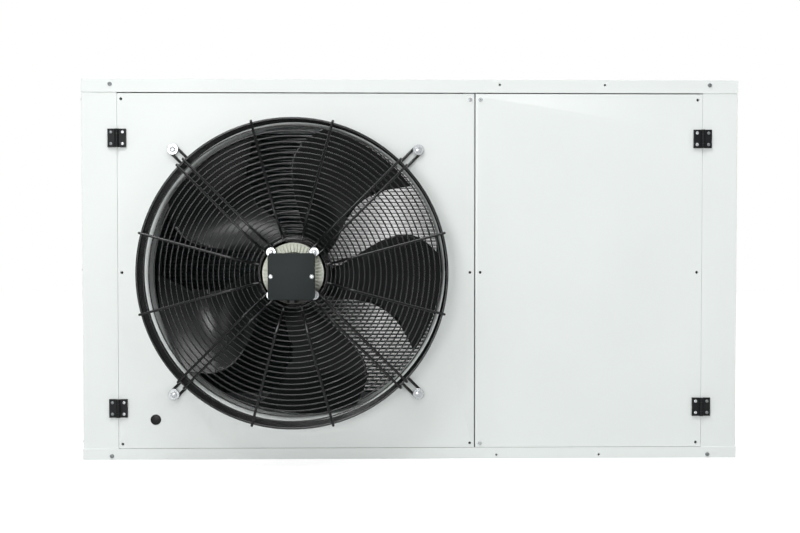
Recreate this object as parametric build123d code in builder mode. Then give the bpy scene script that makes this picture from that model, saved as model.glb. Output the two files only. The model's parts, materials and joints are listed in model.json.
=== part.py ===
from build123d import *
import math
import os

os.makedirs("parts", exist_ok=True)

# Refrigeration condensing unit: a sheet metal housing with a fan compartment on the left and a
# machine compartment on the right. All sizes are millimetres. X is to the right, Y to the back
# and Z up. The origin is on the floor, at the centre of the four anchor holes in the base.

# Housing
width = 1425
depth = 780
height = 825
sheet = 1.5
base_sheet = 2.5
base_flange = 24
cover_lip = 28.5
anchor_inset_x = 67.5
anchor_inset_y = 60
anchor_radius = 6
hole_overrun = 1

# Doors and the seams round them
post_face = 77.5
fan_door_width = 773.5
centre_seam = 2.5
side_seam = 1.2
top_clearance = 3
bottom_clearance = 1.2
door_depth = 22
door_sheet = 1.5
gasket_thickness = 3
gasket_width = 12
gasket_inset = 3
door_hole_radius = 3
door_hole_inset = 10.5
hinge_side_hole_inset = 8.5
service_hole_inset = 12
door_hole_rise = 10
door_hole_low = 5.5
door_hole_drop = 43
plug_inset = 80
plug_z = 87
plug_radius = 11.5
plug_lip = 2
plug_depth = 10

# Posts, partition and panels
post_leg = 45
post_stop = 20
centre_post_width = 50
centre_post_leg = 30
back_post_face = 30
panel_clearance = 1.5
panel_inset = 3
louvre_length = 160
louvre_height = 8
louvre_pitch_x = 260
louvre_pitch_z = 45
louvre_columns = 2
louvre_rows = 8

# Hinges
hinge_z_low = 112.5
hinge_drop = 127.5
hinge_height = 40
hinge_leaf_width = 15
hinge_leaf_thickness = 5
hinge_knuckle_radius = 4.7
hinge_pin_radius = 2
hinge_pin_clearance = 0.05
hinge_clearance = 0.3
knuckle_neck_lift = 3.75
knuckle_neck_height = 2.5
hinge_screw_pitch = 25
hinge_screw_head = 3.4
hinge_screw_height = 1.6
hinge_screw_shank = 1.8
hinge_screw_length = 9
hinge_screw_clearance = 0.1

# Fasteners
screw_head_radius = 4.5
screw_head_height = 3
screw_shank_radius = 2
screw_clearance = 0.4
screw_sides = 6
door_screw_length = 30
casing_screw_inset = 62.5
lip_screw_drop = 11
rail_screw_rise = 8
panel_screw_inset = 14
lip_hole_insets = (242.5, 739.5)
rail_hole_insets = (226.5, 722.5)

# Fan, nozzle and guard, with distances counted forwards from the face of the door
fan_inset = 385.5
fan_drop = 4.5
throat_radius = 320
nozzle_edge_radius = 14
nozzle_length = 62
nozzle_sheet = 1.5
tip_clearance = 6
blade_count = 5
blade_thickness = 3
blade_span_angle = 44.5
blade_root_pitch = 36
blade_tip_pitch = 19
blade_middle = -25
blade_reach = 60
blade_edge = 1.6
blade_camber = 0.06
blade_angle = 62
blade_sweep = 8
blade_tip_sweep = 12
blade_belly_radius = 200
blade_sweep_reach = 115
blade_outer_limit = 335
blade_stations = (60, 140, 220, 290, 330)
hub_radius = 78
hub_wall = 3
hub_length = 62
guard_bolt_square = 530
guard_wire = 5
guard_ring_wire = 3
guard_centre_rings = 7
guard_centre_pitch = 9.5
guard_first_ring = 70.5
guard_face_rings = 16
guard_face_pitch = 11.2
guard_rim_radius = 321
guard_spoke_end = 329
guard_knee_radius = 127
guard_knee_height = 140
guard_rim_height = 122
guard_seat_height = 104
guard_collar_first = 39.5
guard_collar_pitch = 12.5
guard_collar_rings = 6
guard_spoke_start = 73
guard_arm_spread = 19
guard_arm_flat_end = 84
guard_ring_clearance = 0.3
guard_bolt_radius = 4
guard_bolt_head = 6.5
guard_bolt_head_height = 5.5
guard_washer_radius = 12
guard_washer_thickness = 2

# External rotor motor
ear_circle_radius = 63
ear_radius = 11
ear_thickness = 8
ear_reach = 68.5
stator_radius = 46
stator_fin_radius = 64.5
stator_fin_count = 48
stator_fin_width = 3.6
stator_fin_foot = 2
stator_length = 20
stator_plate_radius = 64
stator_plate = 4
rotor_radius = 74.5
rotor_wall = 4
rotor_front = 80
rotor_back = -42
core_radius = 62
core_front = 80
core_back = -20
shaft_radius = 10
shaft_clearance = 0.05
bearing_radius = 21
bearing_length = 12
carrier_wall = 5
shaft_end_clearance = 1
box_size = 96
box_drop = 5
box_corner = 9
box_body = 78
box_body_corner = 24
box_depth = 34
box_lid_depth = 12
box_screw_spread = 42
gland_bore = 6
motor_cap = 5
motor_screw_radius = 3
motor_screw_head = 6
motor_screw_height = 4.5
motor_washer_radius = 10
gland_radius = 10
gland_length = 16

# Condenser
tube_pitch = 10
tube_height = 2
coil_depth = 25
coil_side_clearance = 40.5
coil_post_clearance = 46.5
coil_bottom = 50
coil_top_clearance = 55
coil_setback = 50.5
fin_web = 1
header_radius = 18
header_flat = 12
coil_plate = 2
header_reach = 8

# Machine compartment
compressor_shift = 25.5
compressor_reach = 210
compressor_radius = 92
compressor_height = 430
compressor_foot_square = 190.5
foot_height = 22
foot_radius = 15
receiver_inset = 127.5
receiver_setback = 158.5
receiver_radius = 80
receiver_height = 380
receiver_skirt = 40
receiver_wall = 3
compressor_plate = 5
shell_dome = 35
shell_shoulder = 0.75
shell_crown = 0.3
receiver_crown = 0.5
terminal_cover_width = 90
terminal_cover_depth = 40
terminal_cover_height = 110
terminal_cover_corner = 6
pipe_large = 14.3
pipe_small = 8
pipe_wall = 1.2
pipe_sides = 8
pipe_bend = 38
suction_reach = 90
suction_z = 330
suction_drop = 145
suction_port_z = 180
discharge_z = 740
condensate_z = 80
liquid_z = 500
drier_start = 40
drier_length = 60
drier_radius = 24
drier_taper = 8
drier_sides = 16
valve_setback = 22
valve_size = 26
valve_wall = 4
valve_cap_height = 18
socket_depth = 20
service_pipe_reach = 25
entry_clearance = 4
cable_entry_inset = 81.5
cable_entry_z = 120
cable_entry_radius = 12.5
control_setback = 233.5
control_drop = 185
control_width = 320
control_height = 280
control_depth = 130
contactor_count = 3
contactor_pitch = 90
contactor_width = 60
contactor_height = 85
contactor_depth = 60
contactor_head_width = 42
contactor_head_height = 38
contactor_head_depth = 20
switch_offset = 100
switch_z = 400
switch_width = 44
switch_height = 60
button_radius = 5
button_clearance = 0.08
button_length = 20
button_stand = 6
button_travel = 3
button_floor = 1


def facing(x, y, z):
    """Plane that faces forwards at this point, with its X to the right and its Y up."""
    return Plane(origin=(x, y, z), x_dir=(1, 0, 0), z_dir=(0, -1, 0))


# Positions that follow from the sizes above
face_y = -depth / 2 + sheet
door_back_y = face_y + door_depth
stop_y = door_back_y + gasket_thickness
back_y = depth / 2 - sheet
inner_top = height - sheet
casing_hole_radius = screw_shank_radius + screw_clearance
anchor_spacing_x = width - 2 * anchor_inset_x
anchor_spacing_y = depth - 2 * anchor_inset_y
casing_screw_x = width / 2 - casing_screw_inset
door_bottom = base_flange + bottom_clearance
door_top = height - cover_lip - top_clearance
door_seam_x = width / 2 - post_face
door_split_x = fan_door_width - door_seam_x
post_edge_x = door_seam_x + side_seam / 2
door_edge_x = door_seam_x - side_seam / 2
side_x = width / 2 - sheet
fan_x = fan_inset - door_seam_x
fan_z = height / 2 - fan_drop
plug_x = plug_inset - door_seam_x
hinge_z_high = height - hinge_drop
hinge_y = face_y - hinge_leaf_thickness
leaf_face_y = face_y - hinge_leaf_thickness
fan_axis = facing(fan_x, face_y, fan_z)
tip_radius = throat_radius - tip_clearance
coil_left = coil_side_clearance - width / 2
coil_right = door_split_x - coil_post_clearance
coil_y = back_y - coil_setback
tube_count = 1 + int((height - coil_bottom - coil_top_clearance) / tube_pitch)
compressor_x = (door_split_x + width / 2) / 2 - compressor_shift
receiver_x = width / 2 - receiver_inset
receiver_y = back_y - receiver_setback
compressor_y = receiver_y - compressor_reach
suction_x = compressor_x - suction_reach
liquid_x = receiver_x
cable_entry_x = door_split_x + cable_entry_inset
control_y = stop_y + control_setback
control_z = height - control_drop
switch_y = control_y - switch_offset
pipe_crossings = ((coil_y, discharge_z), (coil_y, condensate_z))
fan_hole_x = (hinge_side_hole_inset - door_seam_x, door_split_x - door_hole_inset)
service_hole_x = (door_split_x + service_hole_inset, door_seam_x - door_hole_inset)
door_hole_z = (base_flange + door_hole_rise, height / 2 - door_hole_low, height - door_hole_drop)
fan_screw_places = ((fan_hole_x[1], door_hole_z[2]),)
service_screw_places = ((service_hole_x[0], door_hole_z[2]), (service_hole_x[0], door_hole_z[0]))
door_screw_places = fan_screw_places + service_screw_places
fan_door_holes = [(x, z) for x in fan_hole_x for z in door_hole_z]
service_door_holes = [(x, z) for x in service_hole_x for z in door_hole_z]
guard_bolt_reach = guard_bolt_square / 2
guard_bolt_places = [
    (fan_x + x, fan_z + z)
    for x in (-guard_bolt_reach, guard_bolt_reach)
    for z in (-guard_bolt_reach, guard_bolt_reach)
]
lip_planes = [
    facing(side * casing_screw_x, -depth / 2, height - lip_screw_drop) for side in (-1, 1)
]
rail_planes = [
    facing(side * casing_screw_x, -depth / 2, rail_screw_rise) for side in (-1, 1)
]
lip_hole_planes = [facing(x - width / 2, -depth / 2, height - lip_screw_drop) for x in lip_hole_insets]
rail_hole_planes = [facing(x - width / 2, -depth / 2, rail_screw_rise) for x in rail_hole_insets]
side_screw_z = (base_flange + panel_screw_inset, height / 2, height - cover_lip - panel_screw_inset)
side_planes = [
    Plane(origin=(side * width / 2, y, z), z_dir=(side, 0, 0))
    for side in (-1, 1)
    for y in (-depth / 2 + panel_screw_inset + panel_inset, depth / 2 - panel_screw_inset - panel_inset)
    for z in side_screw_z
]
back_planes = [
    Plane(origin=(x, depth / 2, z), z_dir=(0, 1, 0))
    for x in (door_split_x + panel_screw_inset, width / 2 - panel_screw_inset - panel_inset)
    for z in side_screw_z
]
casing_planes = lip_planes + rail_planes + side_planes + back_planes


def hinge_planes(side, away, y):
    """Places of the four hinge screws on one side of a seam, facing forwards."""
    x = side * door_seam_x + away * hinge_screw_pitch / 2
    heights = [z + s * hinge_screw_pitch / 2 for z in (hinge_z_low, hinge_z_high) for s in (-1, 1)]
    return [facing(x, y, z) for z in heights]


def save(builder, node):
    """Label the finished piece and write it to its own file."""
    builder.part.label = node
    export_step(builder.part, "parts/" + node + ".step")
    print(node, len(builder.part.solids()), "solids")


# Base pan: a folded tray with the anchor holes
with BuildPart() as base_pan:
    with BuildSketch():
        Rectangle(width, depth)
    extrude(amount=base_flange)
    offset(amount=-sheet, openings=base_pan.faces().sort_by(Axis.Z)[-1])
    with BuildSketch(Plane.XY.offset(sheet)):
        Rectangle(width - 2 * sheet, depth - 2 * sheet)
    extrude(amount=base_sheet - sheet)
    with GridLocations(anchor_spacing_x, anchor_spacing_y, 2, 2):
        Hole(anchor_radius)
    with Locations(*rail_planes, *rail_hole_planes):
        Hole(casing_hole_radius, depth=sheet + hole_overrun)
save(base_pan, "base_pan")

# Top cover: a folded tray turned over, with its lip over the posts
with BuildPart() as top_cover:
    with BuildSketch(Plane.XY.offset(height - cover_lip)):
        Rectangle(width, depth)
    extrude(amount=cover_lip)
    offset(amount=-sheet, openings=top_cover.faces().sort_by(Axis.Z)[0])
    with Locations(*lip_planes, *lip_hole_planes):
        Hole(casing_hole_radius, depth=sheet + hole_overrun)
save(top_cover, "top_cover")

# Corner posts: one folded section each, with a stop flange behind the door or the back panel
half = sheet / 2
for side, side_name in ((-1, "left"), (1, "right")):
    with BuildPart() as front_post:
        with BuildSketch(Plane.XY.offset(base_sheet)):
            with BuildLine():
                Polyline(
                    (side * (side_x - half), face_y + post_leg),
                    (side * (side_x - half), face_y + half),
                    (side * (post_edge_x + half), face_y + half),
                    (side * (post_edge_x + half), stop_y + half),
                    (side * (post_edge_x - post_stop), stop_y + half),
                )
            trace(line_width=sheet)
        extrude(amount=inner_top - base_sheet)
        with Locations(*lip_planes, *rail_planes, *side_planes):
            Hole(casing_hole_radius, depth=2 * sheet + hole_overrun)
        with Locations(*hinge_planes(side, side, face_y)):
            Hole(hinge_screw_shank + hinge_screw_clearance, depth=sheet + hole_overrun)
    save(front_post, "front_" + side_name + "_post")
    with BuildPart() as back_post:
        with BuildSketch(Plane.XY.offset(base_sheet)):
            with BuildLine():
                Polyline(
                    (side * (side_x - half), back_y - post_leg),
                    (side * (side_x - half), back_y - half),
                    (side * (side_x - back_post_face), back_y - half),
                )
            trace(line_width=sheet)
        extrude(amount=inner_top - base_sheet)
        with Locations(*side_planes, *back_planes):
            Hole(casing_hole_radius, depth=2 * sheet + hole_overrun)
    save(back_post, "back_" + side_name + "_post")

# Centre posts: a channel behind the seam of the two doors, and one at the back
post_left = door_split_x - centre_post_width / 2 + half
post_right = door_split_x + centre_post_width / 2 - half
for node, web_y, legs_y in (
    ("centre_post", stop_y + half, stop_y + centre_post_leg),
    ("back_centre_post", back_y - half, back_y - centre_post_leg),
):
    with BuildPart() as channel:
        with BuildSketch(Plane.XY.offset(base_sheet)):
            with BuildLine():
                Polyline((post_left, legs_y), (post_left, web_y), (post_right, web_y), (post_right, legs_y))
            trace(line_width=sheet)
        extrude(amount=inner_top - base_sheet)
        if node == "centre_post":
            with Locations(*[facing(x, stop_y, z) for x, z in door_screw_places]):
                Hole(casing_hole_radius, depth=sheet + hole_overrun)
        else:
            with Locations(*back_planes):
                Hole(casing_hole_radius, depth=2 * sheet + hole_overrun)
    save(channel, node)

# Partition between the two compartments, from one channel to the other
with BuildPart() as partition:
    with BuildSketch(Plane.XY.offset(base_sheet)):
        with Locations((door_split_x, (stop_y + back_y) / 2)):
            Rectangle(sheet, back_y - stop_y - 2 * sheet)
    extrude(amount=inner_top - base_sheet)
    with Locations(*[Plane(origin=(door_split_x, y, z), z_dir=(1, 0, 0)) for y, z in pipe_crossings]):
        Hole(pipe_small + entry_clearance)
save(partition, "partition")

# Side panels lie on the legs of the posts, between the lip of the cover and the base
side_panel_height = height - cover_lip - base_flange - 2 * panel_clearance
side_panel_z = base_flange + panel_clearance + side_panel_height / 2
side_panel_width = depth - 2 * sheet - 2 * panel_inset
for side, side_name in ((-1, "left"), (1, "right")):
    with BuildPart() as side_panel:
        origin = (side * side_x, 0, side_panel_z)
        with BuildSketch(Plane(origin=origin, x_dir=(0, 1, 0), z_dir=(side, 0, 0))):
            Rectangle(side_panel_width, side_panel_height)
            if side > 0:
                with GridLocations(louvre_pitch_x, louvre_pitch_z, louvre_columns, louvre_rows):
                    SlotOverall(louvre_length, louvre_height, mode=Mode.SUBTRACT)
        extrude(amount=sheet)
        with Locations(*side_planes):
            Hole(casing_hole_radius, depth=sheet + hole_overrun)
    save(side_panel, side_name + "_side_panel")

# Back panel behind the machine compartment, with holes for the two service pipes and the cable
back_panel_left = door_split_x + panel_clearance
back_panel_right = width / 2 - panel_inset
with BuildPart() as back_panel:
    with BuildSketch(Plane(origin=(0, back_y, side_panel_z), x_dir=(-1, 0, 0), z_dir=(0, 1, 0))):
        with Locations((-(back_panel_left + back_panel_right) / 2, 0)):
            Rectangle(back_panel_right - back_panel_left, side_panel_height)
        with Locations((-suction_x, suction_z - side_panel_z)):
            Circle(pipe_large + pipe_wall + entry_clearance, mode=Mode.SUBTRACT)
        with Locations((-liquid_x, liquid_z - side_panel_z)):
            Circle(pipe_small + pipe_wall + entry_clearance, mode=Mode.SUBTRACT)
        with Locations((-cable_entry_x, cable_entry_z - side_panel_z)):
            Circle(cable_entry_radius, mode=Mode.SUBTRACT)
    extrude(amount=sheet)
    with Locations(*back_planes):
        Hole(casing_hole_radius, depth=sheet + hole_overrun)
save(back_panel, "back_panel")

# Fan door: a folded pan with the bell-mouthed nozzle drawn into it, and the service door
door_height = door_top - door_bottom
door_mid_z = (door_top + door_bottom) / 2
fan_door_right = door_split_x - centre_seam / 2
service_door_left = door_split_x + centre_seam / 2
nozzle_mouth_radius = throat_radius + nozzle_edge_radius
with BuildPart() as fan_door:
    with BuildSketch(facing((fan_door_right - door_edge_x) / 2, face_y, door_mid_z)):
        Rectangle(fan_door_right + door_edge_x, door_height)
    extrude(amount=-door_depth)
    offset(amount=-door_sheet, openings=fan_door.faces().sort_by(Axis.Y)[-1])
    with BuildSketch(fan_axis):
        Circle(nozzle_mouth_radius)
    extrude(amount=-door_sheet, mode=Mode.SUBTRACT)
    with BuildSketch(Plane(origin=(fan_x, face_y, fan_z), x_dir=(1, 0, 0), z_dir=(0, 0, 1))):
        with BuildLine():
            mouth = CenterArc((nozzle_mouth_radius, nozzle_edge_radius), nozzle_edge_radius, 180, 90)
            wall = Line(mouth @ 0, (throat_radius, nozzle_length))
            rim = Line(wall @ 1, (throat_radius + nozzle_sheet, nozzle_length))
            back_mouth = CenterArc(
                (nozzle_mouth_radius, nozzle_edge_radius), nozzle_edge_radius - nozzle_sheet, 180, 90
            )
            Line(rim @ 1, back_mouth @ 0)
            Line(back_mouth @ 1, mouth @ 1)
        make_face()
    revolve(axis=Axis((fan_x, face_y, fan_z), (0, 1, 0)))
    with Locations(*[facing(x, face_y, z) for x, z in fan_door_holes]):
        Hole(door_hole_radius, depth=door_sheet + hole_overrun)
    with Locations(facing(plug_x, face_y, plug_z)):
        Hole(plug_radius - plug_lip, depth=door_sheet + hole_overrun)
    with Locations(*[facing(x, face_y, z) for x, z in guard_bolt_places]):
        Hole(guard_bolt_radius + screw_clearance, depth=door_sheet + hole_overrun)
    with Locations(*hinge_planes(-1, 1, face_y)):
        Hole(hinge_screw_shank + hinge_screw_clearance, depth=door_sheet + hole_overrun)
save(fan_door, "fan_door")

with BuildPart() as service_door:
    with BuildSketch(facing((service_door_left + door_edge_x) / 2, face_y, door_mid_z)):
        Rectangle(door_edge_x - service_door_left, door_height)
    extrude(amount=-door_depth)
    offset(amount=-door_sheet, openings=service_door.faces().sort_by(Axis.Y)[-1])
    with Locations(*[facing(x, face_y, z) for x, z in service_door_holes]):
        Hole(door_hole_radius, depth=door_sheet + hole_overrun)
    with Locations(*hinge_planes(1, -1, face_y)):
        Hole(hinge_screw_shank + hinge_screw_clearance, depth=door_sheet + hole_overrun)
save(service_door, "service_door")

# Foam seals on the folded edge of each door
for node, left, right in (
    ("fan_door_gasket", -door_edge_x, fan_door_right),
    ("service_door_gasket", service_door_left, door_edge_x),
):
    with BuildPart() as gasket:
        with BuildSketch(facing((left + right) / 2, stop_y, door_mid_z)):
            Rectangle(right - left - 2 * gasket_inset, door_height - 2 * gasket_inset)
            Rectangle(
                right - left - 2 * gasket_inset - 2 * gasket_width,
                door_height - 2 * gasket_inset - 2 * gasket_width,
                mode=Mode.SUBTRACT,
            )
        extrude(amount=gasket_thickness)
        with Locations(*[facing(x, stop_y - gasket_thickness, z) for x, z in door_screw_places]):
            Hole(casing_hole_radius, depth=gasket_thickness)
    save(gasket, node)

# Blanking plug in the fan door
with BuildPart() as hole_plug:
    with BuildSketch(facing(plug_x, face_y, plug_z)):
        Circle(plug_radius)
    extrude(amount=plug_lip)
    with BuildSketch(facing(plug_x, face_y, plug_z)):
        Circle(plug_radius - plug_lip - screw_clearance)
    extrude(amount=-plug_depth)
save(hole_plug, "hole_plug")

# Hinges: a plate and knuckles on each side of the seam, turning on a pin
knuckle_third = hinge_height / 4


def hinge_leaf(side, away, spans, z_mid):
    """Draw one leaf beside the seam, with its knuckles at these heights and its holes."""
    plate_x = side * door_seam_x + away * (hinge_knuckle_radius + hinge_leaf_width / 2)
    with BuildSketch(facing(plate_x, face_y, z_mid)) as plate:
        Rectangle(hinge_leaf_width, hinge_height)
    extrude(plate.sketch, amount=hinge_leaf_thickness)
    neck = hinge_knuckle_radius + hinge_clearance
    for low, high in spans:
        bottom = z_mid + low * knuckle_third + (hinge_clearance / 2 if abs(low) == 1 else 0)
        top = z_mid + high * knuckle_third - (hinge_clearance / 2 if abs(high) == 1 else 0)
        with BuildSketch(Plane.XY.offset(bottom)) as knuckle:
            with Locations((side * door_seam_x, hinge_y)):
                Circle(hinge_knuckle_radius)
            with Locations((side * door_seam_x + away * neck / 2, face_y - knuckle_neck_lift)):
                Rectangle(neck, knuckle_neck_height)
            with Locations((side * door_seam_x, hinge_y)):
                Circle(hinge_pin_radius + hinge_pin_clearance, mode=Mode.SUBTRACT)
        extrude(knuckle.sketch, amount=top - bottom)


with BuildPart() as post_leaves:
    for side in (-1, 1):
        for z_mid in (hinge_z_low, hinge_z_high):
            hinge_leaf(side, side, ((-2, -1), (1, 2)), z_mid)
        with Locations(*hinge_planes(side, side, leaf_face_y)):
            Hole(hinge_screw_shank + hinge_screw_clearance, depth=hinge_leaf_thickness)
save(post_leaves, "post_hinge_leaves")

for node, side in (("fan_door_hinge_leaves", -1), ("service_door_hinge_leaves", 1)):
    with BuildPart() as door_leaves:
        for z_mid in (hinge_z_low, hinge_z_high):
            hinge_leaf(side, -side, ((-1, 1),), z_mid)
        with Locations(*hinge_planes(side, -side, leaf_face_y)):
            Hole(hinge_screw_shank + hinge_screw_clearance, depth=hinge_leaf_thickness)
    save(door_leaves, node)

with BuildPart() as hinge_pins:
    for z_mid in (hinge_z_low, hinge_z_high):
        with BuildSketch(Plane.XY.offset(z_mid - hinge_height / 2)):
            with Locations((-door_seam_x, hinge_y), (door_seam_x, hinge_y)):
                Circle(hinge_pin_radius)
        extrude(amount=hinge_height)
save(hinge_pins, "hinge_pins")

# Screws: a hexagonal head and a shank, laid out on planes that face out of the sheet


def screw(plane, head_radius, head_height, shank_radius, shank_length):
    """Draw one screw with its head on the plane and its shank behind it."""
    with BuildSketch(plane) as head:
        RegularPolygon(head_radius, screw_sides)
    extrude(head.sketch, amount=head_height)
    with BuildSketch(plane) as shank:
        RegularPolygon(shank_radius, screw_sides)
    extrude(shank.sketch, amount=-shank_length)


with BuildPart() as casing_screws:
    for plane in casing_planes:
        screw(plane, screw_head_radius, screw_head_height, screw_shank_radius, 2 * sheet + hole_overrun)
save(casing_screws, "casing_screws")

for node, places in (("fan_door_screw", fan_screw_places), ("service_door_screws", service_screw_places)):
    with BuildPart() as door_screws:
        for x, z in places:
            plane = facing(x, face_y, z)
            screw(plane, screw_head_radius, screw_head_height, screw_shank_radius, door_screw_length)
    save(door_screws, node)

for node, planes in (
    ("post_hinge_screws", hinge_planes(-1, -1, leaf_face_y) + hinge_planes(1, 1, leaf_face_y)),
    ("fan_door_hinge_screws", hinge_planes(-1, 1, leaf_face_y)),
    ("service_door_hinge_screws", hinge_planes(1, -1, leaf_face_y)),
):
    with BuildPart() as hinge_screws:
        for plane in planes:
            screw(plane, hinge_screw_head, hinge_screw_height, hinge_screw_shank, hinge_screw_length)
    save(hinge_screws, node)

# Fan guard: spokes and hairpin arms in front, thin hoops welded behind them, a collar and a thick rim
spoke_angles = [quarter * 90 + turn for quarter in range(4) for turn in (-15, 15)]
arm_angles = [45 + quarter * 90 for quarter in range(4)]
arm_height = guard_seat_height + guard_wire / 2
knee_slope = (guard_knee_height - arm_height) / (guard_knee_radius - guard_arm_flat_end)
rim_slope = (guard_rim_height - guard_knee_height) / (guard_spoke_end - guard_knee_radius)


def wire_height(radius):
    """Height of the middle of a spoke above the door at this radius."""
    if radius < guard_arm_flat_end:
        return arm_height
    if radius < guard_knee_radius:
        return arm_height + knee_slope * (radius - guard_arm_flat_end)
    return guard_knee_height + rim_slope * (radius - guard_knee_radius)


def radial_plane(angle, shift=0):
    """Plane with X along the spoke, Y forwards out of the door and Z across the spoke."""
    along = (math.cos(math.radians(angle)), 0, math.sin(math.radians(angle)))
    across = (along[2], 0, -along[0])
    return Plane(origin=(fan_x, face_y, fan_z), x_dir=along, z_dir=across).offset(shift)


def facing_plane(angle, lift):
    """Plane parallel to the door at this height, with X along the spoke."""
    along = (math.cos(math.radians(angle)), 0, math.sin(math.radians(angle)))
    return Plane(origin=(fan_x, face_y - lift, fan_z), x_dir=along, z_dir=(0, -1, 0))


def bent_wire(plane, start):
    """Draw one spoke from its inner end over the knee to the rim."""
    with BuildSketch(plane) as wire:
        with BuildLine():
            Polyline(
                (start, arm_height),
                (guard_arm_flat_end, arm_height),
                (guard_knee_radius, guard_knee_height),
                (guard_spoke_end, guard_rim_height),
            )
        trace(line_width=guard_wire)
    extrude(wire.sketch, amount=guard_wire / 2, both=True)


def hoop(radius, front, wire):
    """Draw one hoop as a many-sided ring whose front lies at this height."""
    sides = 16 if radius < guard_knee_radius else 24 if radius < guard_rim_radius * 0.7 else 32
    turn = 180 / sides
    with BuildSketch(facing_plane(0, front - wire)) as ring:
        RegularPolygon(radius + wire / 2, sides, major_radius=False, rotation=turn)
        RegularPolygon(radius - wire / 2, sides, major_radius=False, rotation=turn, mode=Mode.SUBTRACT)
    extrude(ring.sketch, amount=wire)


hoop_radii = [guard_first_ring + i * guard_centre_pitch for i in range(guard_centre_rings)]
hoop_radii += [hoop_radii[-1] + (i + 1) * guard_face_pitch for i in range(guard_face_rings)]
wire_behind = guard_wire / 2 / math.cos(math.atan(knee_slope))
collar_radius = guard_rim_radius + guard_wire / 2 - guard_ring_wire / 2
with BuildPart() as guard_grille:
    for angle in spoke_angles:
        bent_wire(radial_plane(angle), guard_spoke_start)
    for angle in arm_angles:
        for shift in (-guard_arm_spread / 2, guard_arm_spread / 2):
            bent_wire(radial_plane(angle, shift), ear_circle_radius)
        with BuildSketch(facing_plane(angle, guard_seat_height)):
            with Locations((ear_circle_radius, 0)):
                Circle(guard_arm_spread / 2 + guard_wire / 2)
                Circle(guard_arm_spread / 2 - guard_wire / 2, mode=Mode.SUBTRACT)
            with Locations((ear_circle_radius + guard_arm_spread, 0)):
                Rectangle(2 * guard_arm_spread, 2 * guard_arm_spread, mode=Mode.SUBTRACT)
        extrude(amount=guard_wire)
    for radius in hoop_radii:
        lowest = min(wire_height(radius - guard_ring_wire / 2), wire_height(radius + guard_ring_wire / 2))
        hoop(radius, lowest - wire_behind - guard_ring_clearance, guard_ring_wire)
    for i in range(guard_collar_rings):
        hoop(collar_radius, guard_collar_first + i * guard_collar_pitch, guard_ring_wire)
    rim_front = wire_height(guard_rim_radius + guard_wire / 2) - guard_wire / 2 - guard_ring_clearance
    hoop(guard_rim_radius, rim_front, guard_wire)
save(guard_grille, "guard_grille")

# Guard legs: hairpins that loop round the bolts on the door and rise outside the collar
bolt_circle = guard_bolt_square / math.sqrt(2)
leg_foot = guard_rim_radius + guard_wire / 2 + guard_ring_clearance
leg_top = wire_height(leg_foot + guard_wire) - guard_wire / 2 - guard_ring_clearance
with BuildPart() as guard_legs:
    for angle in arm_angles:
        with BuildSketch(facing_plane(angle, 0)):
            with Locations((bolt_circle, 0)):
                Circle(guard_arm_spread / 2 + guard_wire / 2)
                Circle(guard_arm_spread / 2 - guard_wire / 2, mode=Mode.SUBTRACT)
            with Locations((bolt_circle - guard_arm_spread, 0)):
                Rectangle(2 * guard_arm_spread, 2 * guard_arm_spread, mode=Mode.SUBTRACT)
            with Locations(*[((leg_foot + bolt_circle) / 2, s * guard_arm_spread / 2) for s in (-1, 1)]):
                Rectangle(bolt_circle - leg_foot, guard_wire)
        extrude(amount=guard_wire)
        with BuildSketch(facing_plane(angle, 0)):
            with Locations(*[(leg_foot + guard_wire / 2, s * guard_arm_spread / 2) for s in (-1, 1)]):
                Rectangle(guard_wire, guard_wire)
        extrude(amount=leg_top)
save(guard_legs, "guard_legs")

with BuildPart() as guard_washers:
    for x, z in guard_bolt_places:
        with BuildSketch(facing(x, face_y - guard_wire, z)):
            RegularPolygon(guard_washer_radius, 16)
            Circle(guard_bolt_radius + screw_clearance, mode=Mode.SUBTRACT)
        extrude(amount=guard_washer_thickness)
save(guard_washers, "guard_washers")

with BuildPart() as guard_bolts:
    for x, z in guard_bolt_places:
        plane = facing(x, face_y - guard_wire - guard_washer_thickness, z)
        reach = guard_wire + guard_washer_thickness + door_sheet + guard_bolt_head_height
        screw(plane, guard_bolt_head, guard_bolt_head_height, guard_bolt_radius, reach)
save(guard_bolts, "guard_bolts")

# Motor: a finned stator flange with four ears, its windings, bearings, shaft and outer rotor
stator_front = guard_seat_height
stator_back = stator_front - stator_length
carrier_radius = bearing_radius + carrier_wall
with BuildPart() as motor_stator:
    with BuildSketch(facing_plane(0, stator_back)):
        Circle(stator_radius)
        with PolarLocations((stator_radius + stator_fin_radius - stator_fin_foot) / 2, stator_fin_count):
            Rectangle(stator_fin_radius - stator_radius + stator_fin_foot, stator_fin_width)
    extrude(amount=stator_length)
    with BuildSketch(facing_plane(0, stator_back)):
        Circle(stator_plate_radius)
    extrude(amount=stator_plate)
    with BuildSketch(facing_plane(45, stator_front - ear_thickness)):
        with PolarLocations(ear_circle_radius, 4):
            Circle(ear_radius)
        Circle(ear_reach, mode=Mode.INTERSECT)
    extrude(amount=ear_thickness)
    with BuildSketch(facing_plane(0, core_back)):
        Circle(carrier_radius)
    extrude(amount=stator_back - core_back)
    with BuildSketch(facing_plane(0, core_back)):
        Circle(bearing_radius + shaft_clearance)
    extrude(amount=stator_front - motor_cap - core_back, mode=Mode.SUBTRACT)
    with BuildSketch(facing_plane(45, stator_front)):
        with PolarLocations(ear_circle_radius, 4):
            Circle(motor_screw_radius + screw_clearance)
    extrude(amount=-stator_length, mode=Mode.SUBTRACT)
save(motor_stator, "motor_stator")

with BuildPart() as motor_windings:
    with BuildSketch(facing_plane(0, core_back)):
        Circle(core_radius)
        Circle(carrier_radius + shaft_clearance, mode=Mode.SUBTRACT)
    extrude(amount=core_front - core_back)
save(motor_windings, "motor_windings")

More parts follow.
